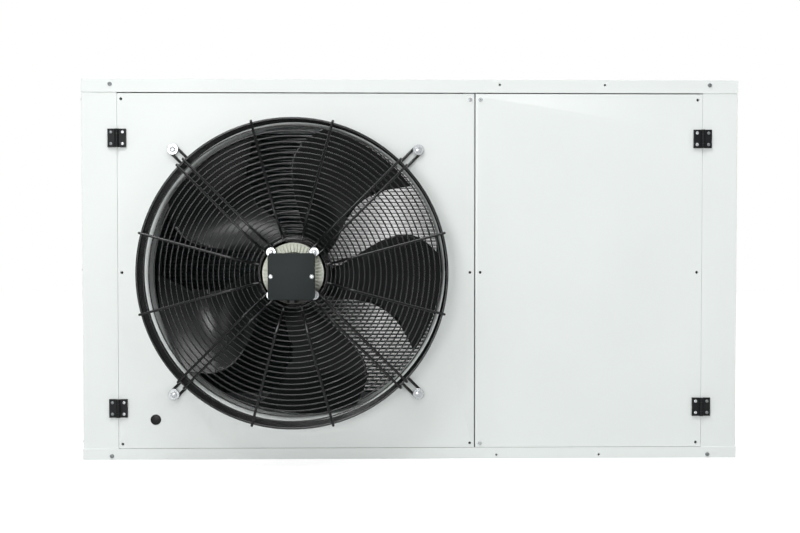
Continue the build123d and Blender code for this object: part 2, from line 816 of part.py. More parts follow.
with BuildPart() as motor_bearings:
    for lift in (core_back, stator_front - motor_cap - bearing_length):
        with BuildSketch(facing_plane(0, lift)):
            Circle(bearing_radius)
            Circle(shaft_radius + shaft_clearance, mode=Mode.SUBTRACT)
        extrude(amount=bearing_length)
save(motor_bearings, "motor_bearings")

with BuildPart() as motor_rotor:
    with BuildSketch(facing_plane(0, rotor_back)):
        Circle(rotor_radius)
    extrude(amount=rotor_front - rotor_back)
    offset(amount=-rotor_wall, openings=motor_rotor.faces().sort_by(Axis.Y)[0])
save(motor_rotor, "motor_rotor")

with BuildPart() as motor_shaft:
    with BuildSketch(facing_plane(0, rotor_back + rotor_wall)):
        Circle(shaft_radius)
    extrude(amount=stator_front - motor_cap - shaft_end_clearance - rotor_back - rotor_wall)
save(motor_shaft, "motor_shaft")

# Impeller: five sickle blades on a hub ring that is pressed over the rotor
half_span = blade_span_angle / 2


def sweep_angle(radius):
    """Turn of the blade's middle line at this radius, forwards at mid span and back at the tip."""
    return blade_sweep - blade_tip_sweep * ((radius - blade_belly_radius) / blade_sweep_reach) ** 2


def blade_section(angle, station):
    """Thin cambered section of one blade on a plane across its middle line."""
    radius = min(station / math.cos(math.radians(half_span)), blade_outer_limit)
    share = (station - hub_radius) / (tip_radius - hub_radius)
    pitch = math.radians(blade_root_pitch + (blade_tip_pitch - blade_root_pitch) * share)
    edges = [station * math.tan(math.radians(sweep_angle(radius) + s * half_span)) for s in (-1, 1)]
    chord = (edges[1] - edges[0]) / math.cos(pitch)
    turn = math.radians(angle)
    along = (math.cos(turn), 0, math.sin(turn))
    origin = (fan_x + station * along[0], face_y - blade_middle, fan_z + station * along[2])
    plane = Plane(origin=origin, x_dir=(-along[2], 0, along[0]), z_dir=along)
    middle = (edges[0] + edges[1]) / 2
    tangent = Vector(math.cos(pitch), math.sin(pitch))
    normal = Vector(-math.sin(pitch), math.cos(pitch))
    start = Vector(middle, 0) - tangent * (chord / 2)
    end = Vector(middle, 0) + tangent * (chord / 2)
    belly = Vector(middle, 0) - normal * (chord * blade_camber)
    edge = normal * (blade_edge / 2)
    body = normal * (blade_thickness / 2)
    with BuildSketch(plane) as section:
        with BuildLine():
            top = ThreePointArc(start + edge, belly + body, end + edge)
            bottom = ThreePointArc(start - edge, belly - body, end - edge)
            Line(top @ 0, bottom @ 0)
            Line(top @ 1, bottom @ 1)
        make_face()
    return section.sketch.face()


with BuildPart() as impeller:
    for blade in range(blade_count):
        angle = blade_angle + blade * 360 / blade_count
        loft([blade_section(angle, station) for station in blade_stations])
    with BuildSketch(facing_plane(0, blade_middle - blade_reach)):
        Circle(tip_radius)
        Circle(hub_radius - hub_wall / 2, mode=Mode.SUBTRACT)
    extrude(amount=2 * blade_reach, mode=Mode.INTERSECT)
    with BuildSketch(facing_plane(0, blade_middle - hub_length / 2)):
        Circle(hub_radius)
        Circle(rotor_radius + shaft_clearance, mode=Mode.SUBTRACT)
    extrude(amount=hub_length)
save(impeller, "impeller")

# Terminal box on the front of the motor, with its lid, screws and cable gland
with BuildPart() as terminal_box:
    with BuildSketch(facing(fan_x, face_y - stator_front, fan_z - box_drop)):
        RectangleRounded(box_body, box_body, box_body_corner)
    extrude(amount=box_depth)
save(terminal_box, "terminal_box")

box_front = stator_front + box_depth
with BuildPart() as terminal_box_lid:
    with BuildSketch(facing(fan_x, face_y - box_front, fan_z - box_drop)):
        RectangleRounded(box_size, box_size, box_corner)
    extrude(amount=box_lid_depth)
    chamfer(terminal_box_lid.faces().sort_by(Axis.Y)[0].edges(), length=2)
save(terminal_box_lid, "terminal_box_lid")

lid_front_y = face_y - box_front - box_lid_depth
with BuildPart() as terminal_box_screws:
    for side in (-1, 1):
        with BuildSketch(facing(fan_x + side * box_screw_spread, lid_front_y, fan_z - box_drop)):
            RegularPolygon(screw_head_radius, 8)
        extrude(amount=screw_head_height / 2)
save(terminal_box_screws, "terminal_box_screws")

with BuildPart() as motor_gland:
    gland_y = face_y - stator_front - box_depth / 2
    gland_z = fan_z - box_drop - box_body / 2
    with BuildSketch(Plane(origin=(fan_x, gland_y, gland_z), z_dir=(0, 0, -1))):
        RegularPolygon(gland_radius, 6)
        Circle(gland_bore, mode=Mode.SUBTRACT)
    extrude(amount=gland_length)
save(motor_gland, "motor_gland")

with BuildPart() as motor_screws:
    seat = guard_seat_height + guard_wire
    with BuildSketch(facing_plane(45, seat)):
        with PolarLocations(ear_circle_radius, 4):
            RegularPolygon(motor_washer_radius, 12)
    extrude(amount=guard_washer_thickness)
    with BuildSketch(facing_plane(45, seat + guard_washer_thickness)):
        with PolarLocations(ear_circle_radius, 4):
            RegularPolygon(motor_screw_head, 6)
    extrude(amount=motor_screw_height)
    with BuildSketch(facing_plane(45, seat)):
        with PolarLocations(ear_circle_radius, 4):
            RegularPolygon(motor_screw_radius, 6)
    extrude(amount=-(guard_wire + ear_thickness))
save(motor_screws, "motor_screws")

# Condenser: flat tubes joined by the fin web, between two headers, held in folded brackets
coil_height = (tube_count - 1) * tube_pitch
coil_mid_z = coil_bottom + coil_height / 2
with BuildPart() as condenser_core:
    with BuildSketch(Plane(origin=(coil_left, coil_y, coil_mid_z), x_dir=(0, 1, 0), z_dir=(1, 0, 0))):
        Rectangle(fin_web, coil_height)
        with GridLocations(0, tube_pitch, 1, tube_count):
            Rectangle(coil_depth, tube_height)
    extrude(amount=coil_right - coil_left)
save(condenser_core, "condenser_core")

header_length = coil_height + 2 * header_reach
with BuildPart() as condenser_headers:
    for x, side in ((coil_left, -1), (coil_right, 1)):
        with BuildSketch(Plane.XY.offset(coil_bottom - header_reach)):
            with Locations((x + side * header_flat, coil_y)):
                Circle(header_radius)
            with Locations((x - side * header_radius, coil_y)):
                Rectangle(2 * header_radius, 2 * header_radius, mode=Mode.SUBTRACT)
        extrude(amount=header_length)
save(condenser_headers, "condenser_headers")

with BuildPart() as coil_brackets:
    near = coil_y - coil_depth / 2
    far = coil_y + coil_depth / 2
    low = coil_bottom - tube_height / 2 - coil_plate / 2
    high = coil_bottom + coil_height + tube_height / 2 + coil_plate / 2
    with BuildSketch(Plane(origin=(coil_left, 0, 0), x_dir=(0, 1, 0), z_dir=(1, 0, 0))):
        with BuildLine():
            Polyline((near, base_sheet), (near, low), (far, low), (far, base_sheet))
        trace(line_width=coil_plate)
        with BuildLine():
            Polyline((near, inner_top), (near, high), (far, high), (far, inner_top))
        trace(line_width=coil_plate)
    extrude(amount=coil_right - coil_left)
save(coil_brackets, "coil_brackets")

# Compressor: a welded shell on a foot plate, four rubber feet and a terminal cover
foot_top = base_sheet + foot_height
shell_top = foot_top + compressor_height
with BuildPart() as compressor_shell:
    with BuildSketch(Plane.XY.offset(foot_top)):
        with Locations((compressor_x, compressor_y)):
            Rectangle(compressor_foot_square + 2 * foot_radius, compressor_foot_square + 2 * foot_radius)
    extrude(amount=compressor_plate)
    with BuildSketch(facing(compressor_x, compressor_y, foot_top)):
        with BuildLine():
            Polyline(
                (0, compressor_plate),
                (compressor_radius * shell_shoulder, compressor_plate),
                (compressor_radius, compressor_plate + shell_dome),
                (compressor_radius, compressor_height - shell_dome),
                (compressor_radius * shell_shoulder, compressor_height - shell_dome / 4),
                (compressor_radius * shell_crown, compressor_height),
                (0, compressor_height),
                close=True,
            )
        make_face()
    revolve(axis=Axis((compressor_x, compressor_y, 0), (0, 0, 1)))
save(compressor_shell, "compressor_shell")

with BuildPart() as compressor_feet:
    with BuildSketch(Plane.XY.offset(base_sheet)):
        with Locations((compressor_x, compressor_y)):
            with GridLocations(compressor_foot_square, compressor_foot_square, 2, 2):
                RegularPolygon(foot_radius, 12)
    extrude(amount=foot_height)
save(compressor_feet, "compressor_feet")

with BuildPart() as compressor_terminal_cover:
    cover_y = compressor_y - compressor_radius - terminal_cover_depth / 2 - hinge_clearance
    with BuildSketch(Plane.XY.offset(foot_top + compressor_height / 2)):
        with Locations((compressor_x, cover_y)):
            RectangleRounded(terminal_cover_width, terminal_cover_depth, terminal_cover_corner)
    extrude(amount=terminal_cover_height)
save(compressor_terminal_cover, "compressor_terminal_cover")

# Liquid receiver on its welded skirt
receiver_bottom = base_sheet + receiver_skirt
receiver_top = receiver_bottom + receiver_height
with BuildPart() as liquid_receiver:
    with BuildSketch(facing(receiver_x, receiver_y, base_sheet)):
        with BuildLine():
            Polyline(
                (0, receiver_skirt),
                (receiver_radius * shell_shoulder - receiver_wall, receiver_skirt),
                (receiver_radius * shell_shoulder - receiver_wall, 0),
                (receiver_radius * shell_shoulder, 0),
                (receiver_radius * shell_shoulder, receiver_skirt),
                (receiver_radius, receiver_skirt + shell_dome),
                (receiver_radius, receiver_skirt + receiver_height - shell_dome),
                (receiver_radius * receiver_crown, receiver_skirt + receiver_height),
                (0, receiver_skirt + receiver_height),
                close=True,
            )
        make_face()
    revolve(axis=Axis((receiver_x, receiver_y, 0), (0, 0, 1)))
save(liquid_receiver, "liquid_receiver")

# Pipework: bent tubes between the compressor, the condenser, the receiver and the back panel


def bent_pipe(points, radius, bend):
    """Sweep a many-sided tube along straight runs joined by arcs."""
    with BuildLine() as route:
        if len(points) > 2:
            FilletPolyline(*points, radius=bend)
        else:
            Line(*points)
    with BuildSketch(Plane(origin=route.line @ 0, z_dir=route.line % 0)) as section:
        RegularPolygon(radius, pipe_sides)
    sweep(section.sketch, path=route.line)


valve_y = back_y - valve_setback
header_face_x = coil_right + header_flat + header_radius + hinge_clearance
receiver_side_x = receiver_x - receiver_radius - hinge_clearance
condensate_bend_x = (header_face_x + receiver_side_x) / 2
suction_bend_y = compressor_y + suction_drop
with BuildPart() as suction_pipe:
    bent_pipe(
        [
            (suction_x, valve_y - valve_size / 2, suction_z),
            (suction_x, suction_bend_y, suction_z),
            (suction_x, suction_bend_y, suction_port_z),
            (compressor_x, suction_bend_y, suction_port_z),
            (compressor_x, compressor_y + compressor_radius + hinge_clearance, suction_port_z),
        ],
        pipe_large,
        pipe_bend,
    )
save(suction_pipe, "suction_pipe")

with BuildPart() as discharge_pipe:
    bent_pipe(
        [
            (compressor_x, compressor_y, shell_top),
            (compressor_x, compressor_y, discharge_z),
            (compressor_x, coil_y, discharge_z),
            (header_face_x, coil_y, discharge_z),
        ],
        pipe_small,
        pipe_bend,
    )
save(discharge_pipe, "discharge_pipe")

with BuildPart() as condensate_pipe:
    bent_pipe(
        [
            (header_face_x, coil_y, condensate_z),
            (condensate_bend_x, coil_y, condensate_z),
            (condensate_bend_x, receiver_y, condensate_z),
            (receiver_side_x, receiver_y, condensate_z),
        ],
        pipe_small,
        pipe_bend,
    )
save(condensate_pipe, "condensate_pipe")

drier_back = receiver_y + drier_start + drier_length
with BuildPart() as liquid_pipe:
    bent_pipe(
        [
            (receiver_x, receiver_y, receiver_top),
            (receiver_x, receiver_y, liquid_z),
            (receiver_x, receiver_y + drier_start, liquid_z),
        ],
        pipe_small,
        pipe_bend,
    )
    last_run = [(liquid_x, drier_back, liquid_z), (liquid_x, valve_y - valve_size / 2, liquid_z)]
    bent_pipe(last_run, pipe_small, pipe_bend)
save(liquid_pipe, "liquid_pipe")

with BuildPart() as filter_drier:
    with BuildSketch(Plane(origin=(liquid_x, receiver_y + drier_start, liquid_z), z_dir=(0, 1, 0))):
        RegularPolygon(drier_radius, drier_sides)
    extrude(amount=drier_length)
    ends = filter_drier.faces().sort_by(Axis.Y)
    chamfer(ends[0].edges() + ends[-1].edges(), length=drier_taper)
save(filter_drier, "filter_drier")

# Service valves: a block, a capped spindle and a round socket that passes through the back panel
with BuildPart() as service_valves:
    for x, z, radius in ((suction_x, suction_z, pipe_large), (liquid_x, liquid_z, pipe_small)):
        block = 2 * (radius + valve_wall)
        with BuildSketch(Plane.XY.offset(z - block / 2)):
            with Locations((x, valve_y)):
                Rectangle(block, valve_size)
        extrude(amount=block)
        with BuildSketch(Plane.XY.offset(z + block / 2)):
            with Locations((x, valve_y)):
                RegularPolygon(radius, screw_sides)
        extrude(amount=valve_cap_height)
        with BuildSketch(Plane(origin=(x, valve_y + valve_size / 2, z), z_dir=(0, 1, 0))):
            Circle(radius + pipe_wall)
        extrude(amount=back_y + sheet + service_pipe_reach - valve_y - valve_size / 2)
        with BuildSketch(facing(x, back_y + sheet + service_pipe_reach, z)):
            Circle(radius)
        extrude(amount=socket_depth, mode=Mode.SUBTRACT)
save(service_valves, "service_valves")

# Electrical box on the partition, its lid, and the pressure switch with its reset button
box_x = door_split_x + half


def box_plane(lift):
    """Plane parallel to the partition at this distance from it, over the middle of the box."""
    return Plane(origin=(box_x + lift, control_y, control_z), x_dir=(0, 1, 0), z_dir=(1, 0, 0))


with BuildPart() as electrical_box:
    with BuildSketch(box_plane(0)):
        Rectangle(control_width, control_height)
    extrude(amount=control_depth)
    offset(amount=-sheet, openings=electrical_box.faces().sort_by(Axis.X)[-1])
save(electrical_box, "electrical_box")

with BuildPart() as electrical_box_lid:
    with BuildSketch(box_plane(control_depth)):
        Rectangle(control_width, control_height)
    extrude(amount=sheet)
save(electrical_box_lid, "electrical_box_lid")

with BuildPart() as contactors:
    with BuildSketch(box_plane(sheet)):
        with GridLocations(contactor_pitch, 0, contactor_count, 1):
            Rectangle(contactor_width, contactor_height)
    extrude(amount=contactor_depth)
    with BuildSketch(box_plane(sheet + contactor_depth)):
        with GridLocations(contactor_pitch, 0, contactor_count, 1):
            Rectangle(contactor_head_width, contactor_head_height)
    extrude(amount=contactor_head_depth)
save(contactors, "contactors")

switch_top = switch_z + switch_height
with BuildPart() as pressure_switch:
    with BuildSketch(Plane.XY.offset(switch_z)):
        with Locations((box_x + switch_width / 2, switch_y)):
            Rectangle(switch_width, switch_width)
    extrude(amount=switch_height)
    with Locations((box_x + switch_width / 2, switch_y, switch_top)):
        Hole(button_radius + button_clearance, depth=button_length - button_stand)
save(pressure_switch, "pressure_switch")

with BuildPart() as reset_button:
    with BuildSketch(Plane.XY.offset(switch_top + button_stand)):
        with Locations((box_x + switch_width / 2, switch_y)):
            Circle(button_radius)
    extrude(amount=-(button_length - button_travel - button_floor))
save(reset_button, "reset_button")
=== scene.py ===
import json
import math

import bmesh
import bpy
from mathutils import Matrix, Vector


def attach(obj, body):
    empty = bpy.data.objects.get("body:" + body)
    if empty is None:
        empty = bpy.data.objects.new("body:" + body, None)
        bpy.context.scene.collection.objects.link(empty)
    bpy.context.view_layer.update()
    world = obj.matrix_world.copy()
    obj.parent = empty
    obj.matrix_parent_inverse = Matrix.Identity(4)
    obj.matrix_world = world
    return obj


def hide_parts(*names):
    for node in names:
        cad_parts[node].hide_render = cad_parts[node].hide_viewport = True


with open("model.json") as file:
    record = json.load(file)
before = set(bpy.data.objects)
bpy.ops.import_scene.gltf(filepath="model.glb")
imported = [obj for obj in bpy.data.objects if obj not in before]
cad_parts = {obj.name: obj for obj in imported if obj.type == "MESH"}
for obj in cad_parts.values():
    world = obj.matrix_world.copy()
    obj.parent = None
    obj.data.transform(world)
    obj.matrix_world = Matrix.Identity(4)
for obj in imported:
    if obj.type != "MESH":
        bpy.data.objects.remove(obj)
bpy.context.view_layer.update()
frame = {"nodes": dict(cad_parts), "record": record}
nodes = frame["nodes"]
print("frame loaded,", len(nodes), "nodes")

# where the main forms are, in metres
faceY = -0.3885
fanX = -0.2495
fanZ = 0.408


# finishes: each one is a small node tree on object coordinates

class Flow:  # an output of a node, for sums written as Python
    def __init__(self, finish, socket):
        self.finish = finish
        self.socket = socket

    def sum(self, operation, first, second):
        return self.finish.add("ShaderNodeMath", {"operation": operation}, {0: first, 1: second})

    def __add__(self, other):
        return self.sum("ADD", self, other)

    def __radd__(self, other):
        return self.sum("ADD", other, self)

    def __sub__(self, other):
        return self.sum("SUBTRACT", self, other)

    def __rsub__(self, other):
        return self.sum("SUBTRACT", other, self)

    def __mul__(self, other):
        return self.sum("MULTIPLY", self, other)

    def __rmul__(self, other):
        return self.sum("MULTIPLY", other, self)


class Finish:  # one material with its nodes
    def __init__(self, name, colour, roughness, metallic=0.0):
        self.material = bpy.data.materials.new(name)
        self.material.use_nodes = True
        self.tree = self.material.node_tree
        self.shader = self.tree.nodes["Principled BSDF"]
        self.place = self.add("ShaderNodeTexCoord", {}, {}, "Object")
        self.feed("Base Color", (*colour, 1))
        self.feed("Roughness", roughness)
        self.feed("Metallic", metallic)

    def add(self, kind, settings, values, output=0):
        node = self.tree.nodes.new(kind)
        for key, value in settings.items():
            if key == "stops":
                while len(node.color_ramp.elements) < len(value):
                    node.color_ramp.elements.new(0.5)
                for stop, (position, colour) in zip(node.color_ramp.elements, value):
                    stop.position = position
                    stop.color = colour
            else:
                setattr(node, key, value)
        for key, value in values.items():
            self.plug(node.inputs[key], value)
        return Flow(self, node.outputs[output])

    def plug(self, entry, value):
        if isinstance(value, Flow):
            self.tree.links.new(value.socket, entry)
        else:
            entry.default_value = value

    def feed(self, entry, value):
        self.plug(self.shader.inputs[entry], value)

    def noise(self, scale, detail=2.0, stretch=(1, 1, 1)):
        place = self.add("ShaderNodeMapping", {}, {"Vector": self.place, "Scale": stretch})
        return self.add("ShaderNodeTexNoise", {}, {"Vector": place, "Scale": scale, "Detail": detail})

    def steps(self, factor, stops):  # grey ramp: pairs of position and value
        stops = [(position, (value, value, value, 1)) for position, value in stops]
        return self.add("ShaderNodeValToRGB", {"stops": stops}, {"Fac": factor})

    def mix(self, factor, first, second):
        first = (*first, 1) if isinstance(first, tuple) else first
        second = (*second, 1) if isinstance(second, tuple) else second
        return self.add("ShaderNodeMix", {"data_type": "RGBA"}, {0: factor, 6: first, 7: second}, 2)

    def bump(self, height, distance, strength=1.0):
        values = {"Height": height, "Distance": distance, "Strength": strength}
        self.feed("Normal", self.add("ShaderNodeBump", {}, values, "Normal"))


def powderCoat(name, colour, dust):
    coat = Finish(name, colour, 0.42)
    grain = coat.noise(700, 3)
    cloud = coat.noise(3.5, 4)
    shade = tuple(c * (1 - dust) for c in colour)
    coat.feed("Base Color", coat.mix(coat.steps(cloud, [(0.35, 0), (0.75, 1)]), colour, shade))
    coat.feed("Roughness", 0.28 + 0.12 * grain)
    coat.bump(grain, 0.00012, 0.5)
    return coat.material


def moulded(name, colour, roughness, grainDepth=0.00008, shine=0.25):
    plastic = Finish(name, colour, roughness)
    plastic.feed("Specular IOR Level", shine)
    grain = plastic.noise(1600, 2)
    wear = plastic.noise(25, 3)
    plastic.feed("Roughness", (roughness - 0.06) + 0.12 * wear)
    plastic.bump(grain, grainDepth, 0.6)
    return plastic.material


def plated(name, colour, roughness, metallic=1.0):
    metal = Finish(name, colour, roughness, metallic)
    cloud = metal.noise(180, 3)
    darker = tuple(c * 0.86 for c in colour)
    metal.feed("Base Color", metal.mix(metal.steps(cloud, [(0.3, 0), (0.7, 1)]), colour, darker))
    metal.feed("Roughness", (roughness - 0.05) + 0.14 * cloud)
    metal.bump(metal.noise(2400, 1), 0.00002, 0.5)
    return metal.material


def sheetZinc(name):
    zinc = Finish(name, (0.62, 0.64, 0.66), 0.38, 1.0)
    spangle = zinc.add("ShaderNodeTexVoronoi", {}, {"Vector": zinc.place, "Scale": 90.0}, "Color")
    flakes = zinc.steps(spangle, [(0.2, 0.42), (0.8, 0.78)])
    zinc.feed("Base Color", zinc.mix(0.3, (0.60, 0.62, 0.64), flakes))
    zinc.feed("Roughness", 0.3 + 0.2 * zinc.noise(60, 2))
    return zinc.material


def painted(name, colour, roughness, shine=0.5):
    paint = Finish(name, colour, roughness)
    paint.feed("Specular IOR Level", shine)
    orangePeel = paint.noise(260, 2)
    paint.feed("Roughness", (roughness - 0.04) + 0.1 * paint.noise(18, 3))
    paint.bump(orangePeel, 0.00012, 0.35)
    return paint.material


def castMetal(name):  # painted shade: the fins are darkened towards their lower side, where the terminal box's shadow falls
    cast = Finish(name, (0.66, 0.68, 0.62), 0.42, 0.35)
    grain = cast.noise(420, 4)
    height = cast.add("ShaderNodeSeparateXYZ", {}, {"Vector": cast.place}, "Z")
    # painted shade: below the motor's middle the cast colour blends to near black
    reach = {"Value": height, "From Min": fanZ - 0.012, "From Max": fanZ - 0.045}
    paintedShadeBelow = cast.add("ShaderNodeMapRange", {}, reach)
    castTone = cast.mix(cast.steps(grain, [(0.3, 0), (0.75, 1)]), (0.54, 0.56, 0.49), (0.72, 0.75, 0.65))
    cast.feed("Base Color", cast.mix(paintedShadeBelow, castTone, (0.05, 0.05, 0.045)))
    cast.feed("Roughness", 0.34 + 0.26 * grain)
    cast.bump(grain, 0.0003, 0.7)
    return cast.material


def copper(name):
    tube = Finish(name, (0.72, 0.40, 0.26), 0.3, 1.0)
    stain = tube.steps(tube.noise(30, 4), [(0.45, 0), (0.75, 1)])
    tube.feed("Base Color", tube.mix(stain, (0.74, 0.42, 0.28), (0.42, 0.22, 0.14)))
    tube.feed("Roughness", 0.24 + 0.25 * stain)
    return tube.material


finishes = {
    "panel_paint": powderCoat("panelPowderCoat", (0.770, 0.812, 0.794), 0.03),
    "galvanised_sheet": sheetZinc("galvanisedSheet"),
    "seal_foam": moulded("sealFoam", (0.05, 0.05, 0.052), 0.9, 0.0003),
    "hinge_black": moulded("hingeBlack", (0.008, 0.009, 0.010), 0.42),
    "zinc_plating": plated("zincPlating", (0.70, 0.73, 0.75), 0.24, 0.5),
    "dull_zinc": plated("dullZinc", (0.30, 0.32, 0.33), 0.4, 0.75),
    "plug_plastic": moulded("plugPlastic", (0.012, 0.012, 0.013), 0.35),
    "guard_coating": painted("guardCoating", (0.004, 0.0045, 0.005), 0.17, 0.55),
    "cast_aluminium": castMetal("castAluminiumPaintedShade"),
    "winding_copper": copper("windingCopper"),
    "bearing_steel": plated("bearingSteel", (0.58, 0.59, 0.61), 0.2),
    "rotor_paint": painted("rotorPaint", (0.005, 0.0065, 0.006), 0.2, 0.3),
    "terminal_plastic": moulded("terminalPlastic", (0.012, 0.017, 0.017), 0.5),
    # painted shade: the coil's aluminium is given a dark colour for the shade inside the unit
    "coil_aluminium": plated("coilAluminiumPaintedShade", (0.045, 0.075, 0.066), 0.7, 0.15),
    "compressor_paint": painted("compressorPaint", (0.012, 0.012, 0.014), 0.22),
    "foot_rubber": moulded("footRubber", (0.02, 0.02, 0.02), 0.8, 0.0002),
    "cover_plastic": moulded("coverPlastic", (0.045, 0.045, 0.05), 0.5),
    "receiver_paint": painted("receiverPaint", (0.02, 0.024, 0.03), 0.3),
    "drier_paint": painted("drierPaint", (0.62, 0.64, 0.60), 0.3),
    "copper_pipe": copper("copperPipe"),
    "valve_brass": plated("valveBrass", (0.72, 0.55, 0.28), 0.3),
    "button_plastic": moulded("buttonPlastic", (0.03, 0.22, 0.06), 0.3),
}

slotOf = {}
for entry in frame["record"]["subparts"]:
    slotOf[entry["node"]] = entry["material_slot"]
bodyOf = {}
for bodyName, members in frame["record"]["behaviour"]["bodies"].items():
    for member in members:
        bodyOf[member] = bodyName
for node, slotName in slotOf.items():
    mesh = nodes[node].data
    mesh.materials.clear()
    mesh.materials.append(finishes[slotName])
print("finishes made")


# helpers that shape a piece and hand it to its body

def newPiece(bm, name, body, slotName, replaced=(), sharpAngle=35):
    bmesh.ops.recalc_face_normals(bm, faces=bm.faces)
    mesh = bpy.data.meshes.new(name)
    bm.to_mesh(mesh)
    bm.free()
    mesh.materials.append(finishes[slotName])
    for polygon in mesh.polygons:
        polygon.use_smooth = True
    mesh.set_sharp_from_angle(angle=math.radians(sharpAngle))
    piece = bpy.data.objects.new(name, mesh)
    bpy.context.scene.collection.objects.link(piece)
    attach(piece, body)
    if replaced:
        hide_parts(*replaced)
    return piece


def roundEdges(bm, edges, offset, segments=2):
    bmesh.ops.bevel(
        bm,
        geom=edges,
        offset=offset,
        offset_type="OFFSET",
        segments=segments,
        profile=0.5,
        affect="EDGES",
        material=-1,
    )


def edgesOf(verts):
    return list({edge for vert in verts for edge in vert.link_edges})


def softenEdges(piece, width, angle=40):
    bevel = piece.modifiers.new("edges", "BEVEL")
    bevel.width = width
    bevel.segments = 2
    bevel.limit_method = "ANGLE"
    bevel.angle_limit = math.radians(angle)
    bevel.use_clamp_overlap = True
    return piece


def mergedCopy(node):
    bm = bmesh.new()
    bm.from_mesh(nodes[node].data)
    bmesh.ops.remove_doubles(bm, verts=bm.verts, dist=0.00001)
    bmesh.ops.dissolve_limit(bm, angle_limit=math.radians(0.5), verts=bm.verts, edges=bm.edges)
    return bm


def dressNode(node, edge, sharpAngle=35):
    bm = mergedCopy(node)
    piece = newPiece(bm, node + "_formed", bodyOf[node], slotOf[node], (node,), sharpAngle)
    if edge:
        softenEdges(piece, edge)
    return piece


def liesAt(part, y):
    # whether a face or an edge lies in the upright plane at this depth
    return all(abs(vert.co.y - y) < 0.00002 for vert in part.verts)


def shiftHoles(bm, depths, holes):
    # the flat faces round the holes are taken out, the holes moved along, and the faces filled again
    flat = [face for face in bm.faces if any(liesAt(face, y) for y in depths)]
    bmesh.ops.delete(bm, geom=flat, context="FACES")
    near = 0.005
    for x, z, shift in holes:
        for vert in bm.verts:
            if vert.co.y < faceY + 0.001 and (vert.co.x - x) ** 2 + (vert.co.z - z) ** 2 < near**2:
                vert.co.x += shift
    for y in depths:
        rim = [edge for edge in bm.edges if len(edge.link_faces) == 1 and liesAt(edge, y)]
        bmesh.ops.triangle_fill(bm, use_beauty=True, use_dissolve=False, edges=rim, normal=(0, -1, 0))
    bmesh.ops.dissolve_limit(bm, angle_limit=math.radians(0.5), verts=bm.verts, edges=bm.edges)


def dressSheet(node, edge=0.0004, shortest=0.1, moves=(), holes=()):
    # a sheet piece with its long folded and cut edges rounded
    # each move names an axis, the place of an edge on it and the edge's shift
    bm = mergedCopy(node)
    if holes:
        shiftHoles(bm, (min(vert.co.y for vert in bm.verts), faceY), holes)
    for axis, place, shift in moves:
        for vert in bm.verts:
            if abs(vert.co[axis] - place) < 0.0002:
                vert.co[axis] += shift
    whole = [e for e in bm.edges if e.calc_length() > shortest and len(e.link_faces) == 2]
    folds = [e for e in whole if e.calc_face_angle() > 1]
    roundEdges(bm, folds, edge)
    return newPiece(bm, node + "_folded", bodyOf[node], slotOf[node], (node,), 20)


def lathe(bm, profile, matrix, steps=32):
    # pairs of radius and height, turned round the matrix's own Z
    verts = [bm.verts.new(matrix @ Vector((radius, 0, rise))) for radius, rise in profile]
    edges = [bm.edges.new(pair) for pair in zip(verts, verts[1:])]
    bmesh.ops.spin(
        bm,
        geom=verts + edges,
        cent=matrix.translation,
        axis=matrix.to_3x3() @ Vector((0, 0, 1)),
        angle=2 * math.pi,
        steps=steps,
        use_merge=True,
    )
    bmesh.ops.remove_doubles(bm, verts=bm.verts, dist=0.00001)


def hexagon(bm, radius, low, high, matrix):
    # a hexagonal head with its top edges rounded off
    place = matrix @ Matrix.Translation((0, 0, (low + high) / 2))
    made = bmesh.ops.create_cone(
        bm, cap_ends=True, segments=6, radius1=radius, radius2=radius, depth=high - low, matrix=place
    )["verts"]
    top = [vert for vert in made if (matrix.inverted() @ vert.co).z > (low + high) / 2]
    edges = [edge for edge in bm.edges if edge.verts[0] in top and edge.verts[1] in top]
    roundEdges(bm, edges, radius * 0.12)


def panHead(bm, radius, rise, length, matrix):
    # a domed head with a socket in it, and its shank behind
    socket = radius * 0.42
    lathe(
        bm,
        [
            (0, rise * 0.4),
            (socket, rise * 0.4),
            (socket, rise),
            (radius * 0.72, rise * 0.96),
            (radius * 0.93, rise * 0.68),
            (radius, rise * 0.25),
            (radius, 0),
            (radius * 0.5, 0),
            (radius * 0.5, -length),
            (0, -length),
        ],
        matrix,
        20,
    )


def outward(x, y, z, way):
    # a place with its Z out of the face: forwards, backwards or to one side
    turns = {
        "front": Matrix.Rotation(math.radians(90), 4, "X"),
        "back": Matrix.Rotation(math.radians(-90), 4, "X"),
        "left": Matrix.Rotation(math.radians(-90), 4, "Y"),
        "right": Matrix.Rotation(math.radians(90), 4, "Y"),
        "up": Matrix.Identity(4),
        "down": Matrix.Rotation(math.radians(180), 4, "X"),
    }
    return Matrix.Translation((x, y, z)) @ turns[way]


def roundedPath(points, bend, steps=5):
    # straight runs with their corners turned into short curves
    path = [points[0]]
    for before, corner, after in zip(points, points[1:], points[2:]):
        arriving = (corner - before).normalized()
        leaving = (after - corner).normalized()
        turn = arriving.angle(leaving)
        if turn < 0.01:
            path.append(corner)
            continue
        back = min(bend * math.tan(turn / 2), (corner - before).length * 0.48, (after - corner).length * 0.48)
        first = corner - arriving * back
        last = corner + leaving * back
        for i in range(steps + 1):
            s = i / steps
            path.append(first * (1 - s) ** 2 + corner * (2 * s * (1 - s)) + last * s**2)
    path.append(points[-1])
    return path


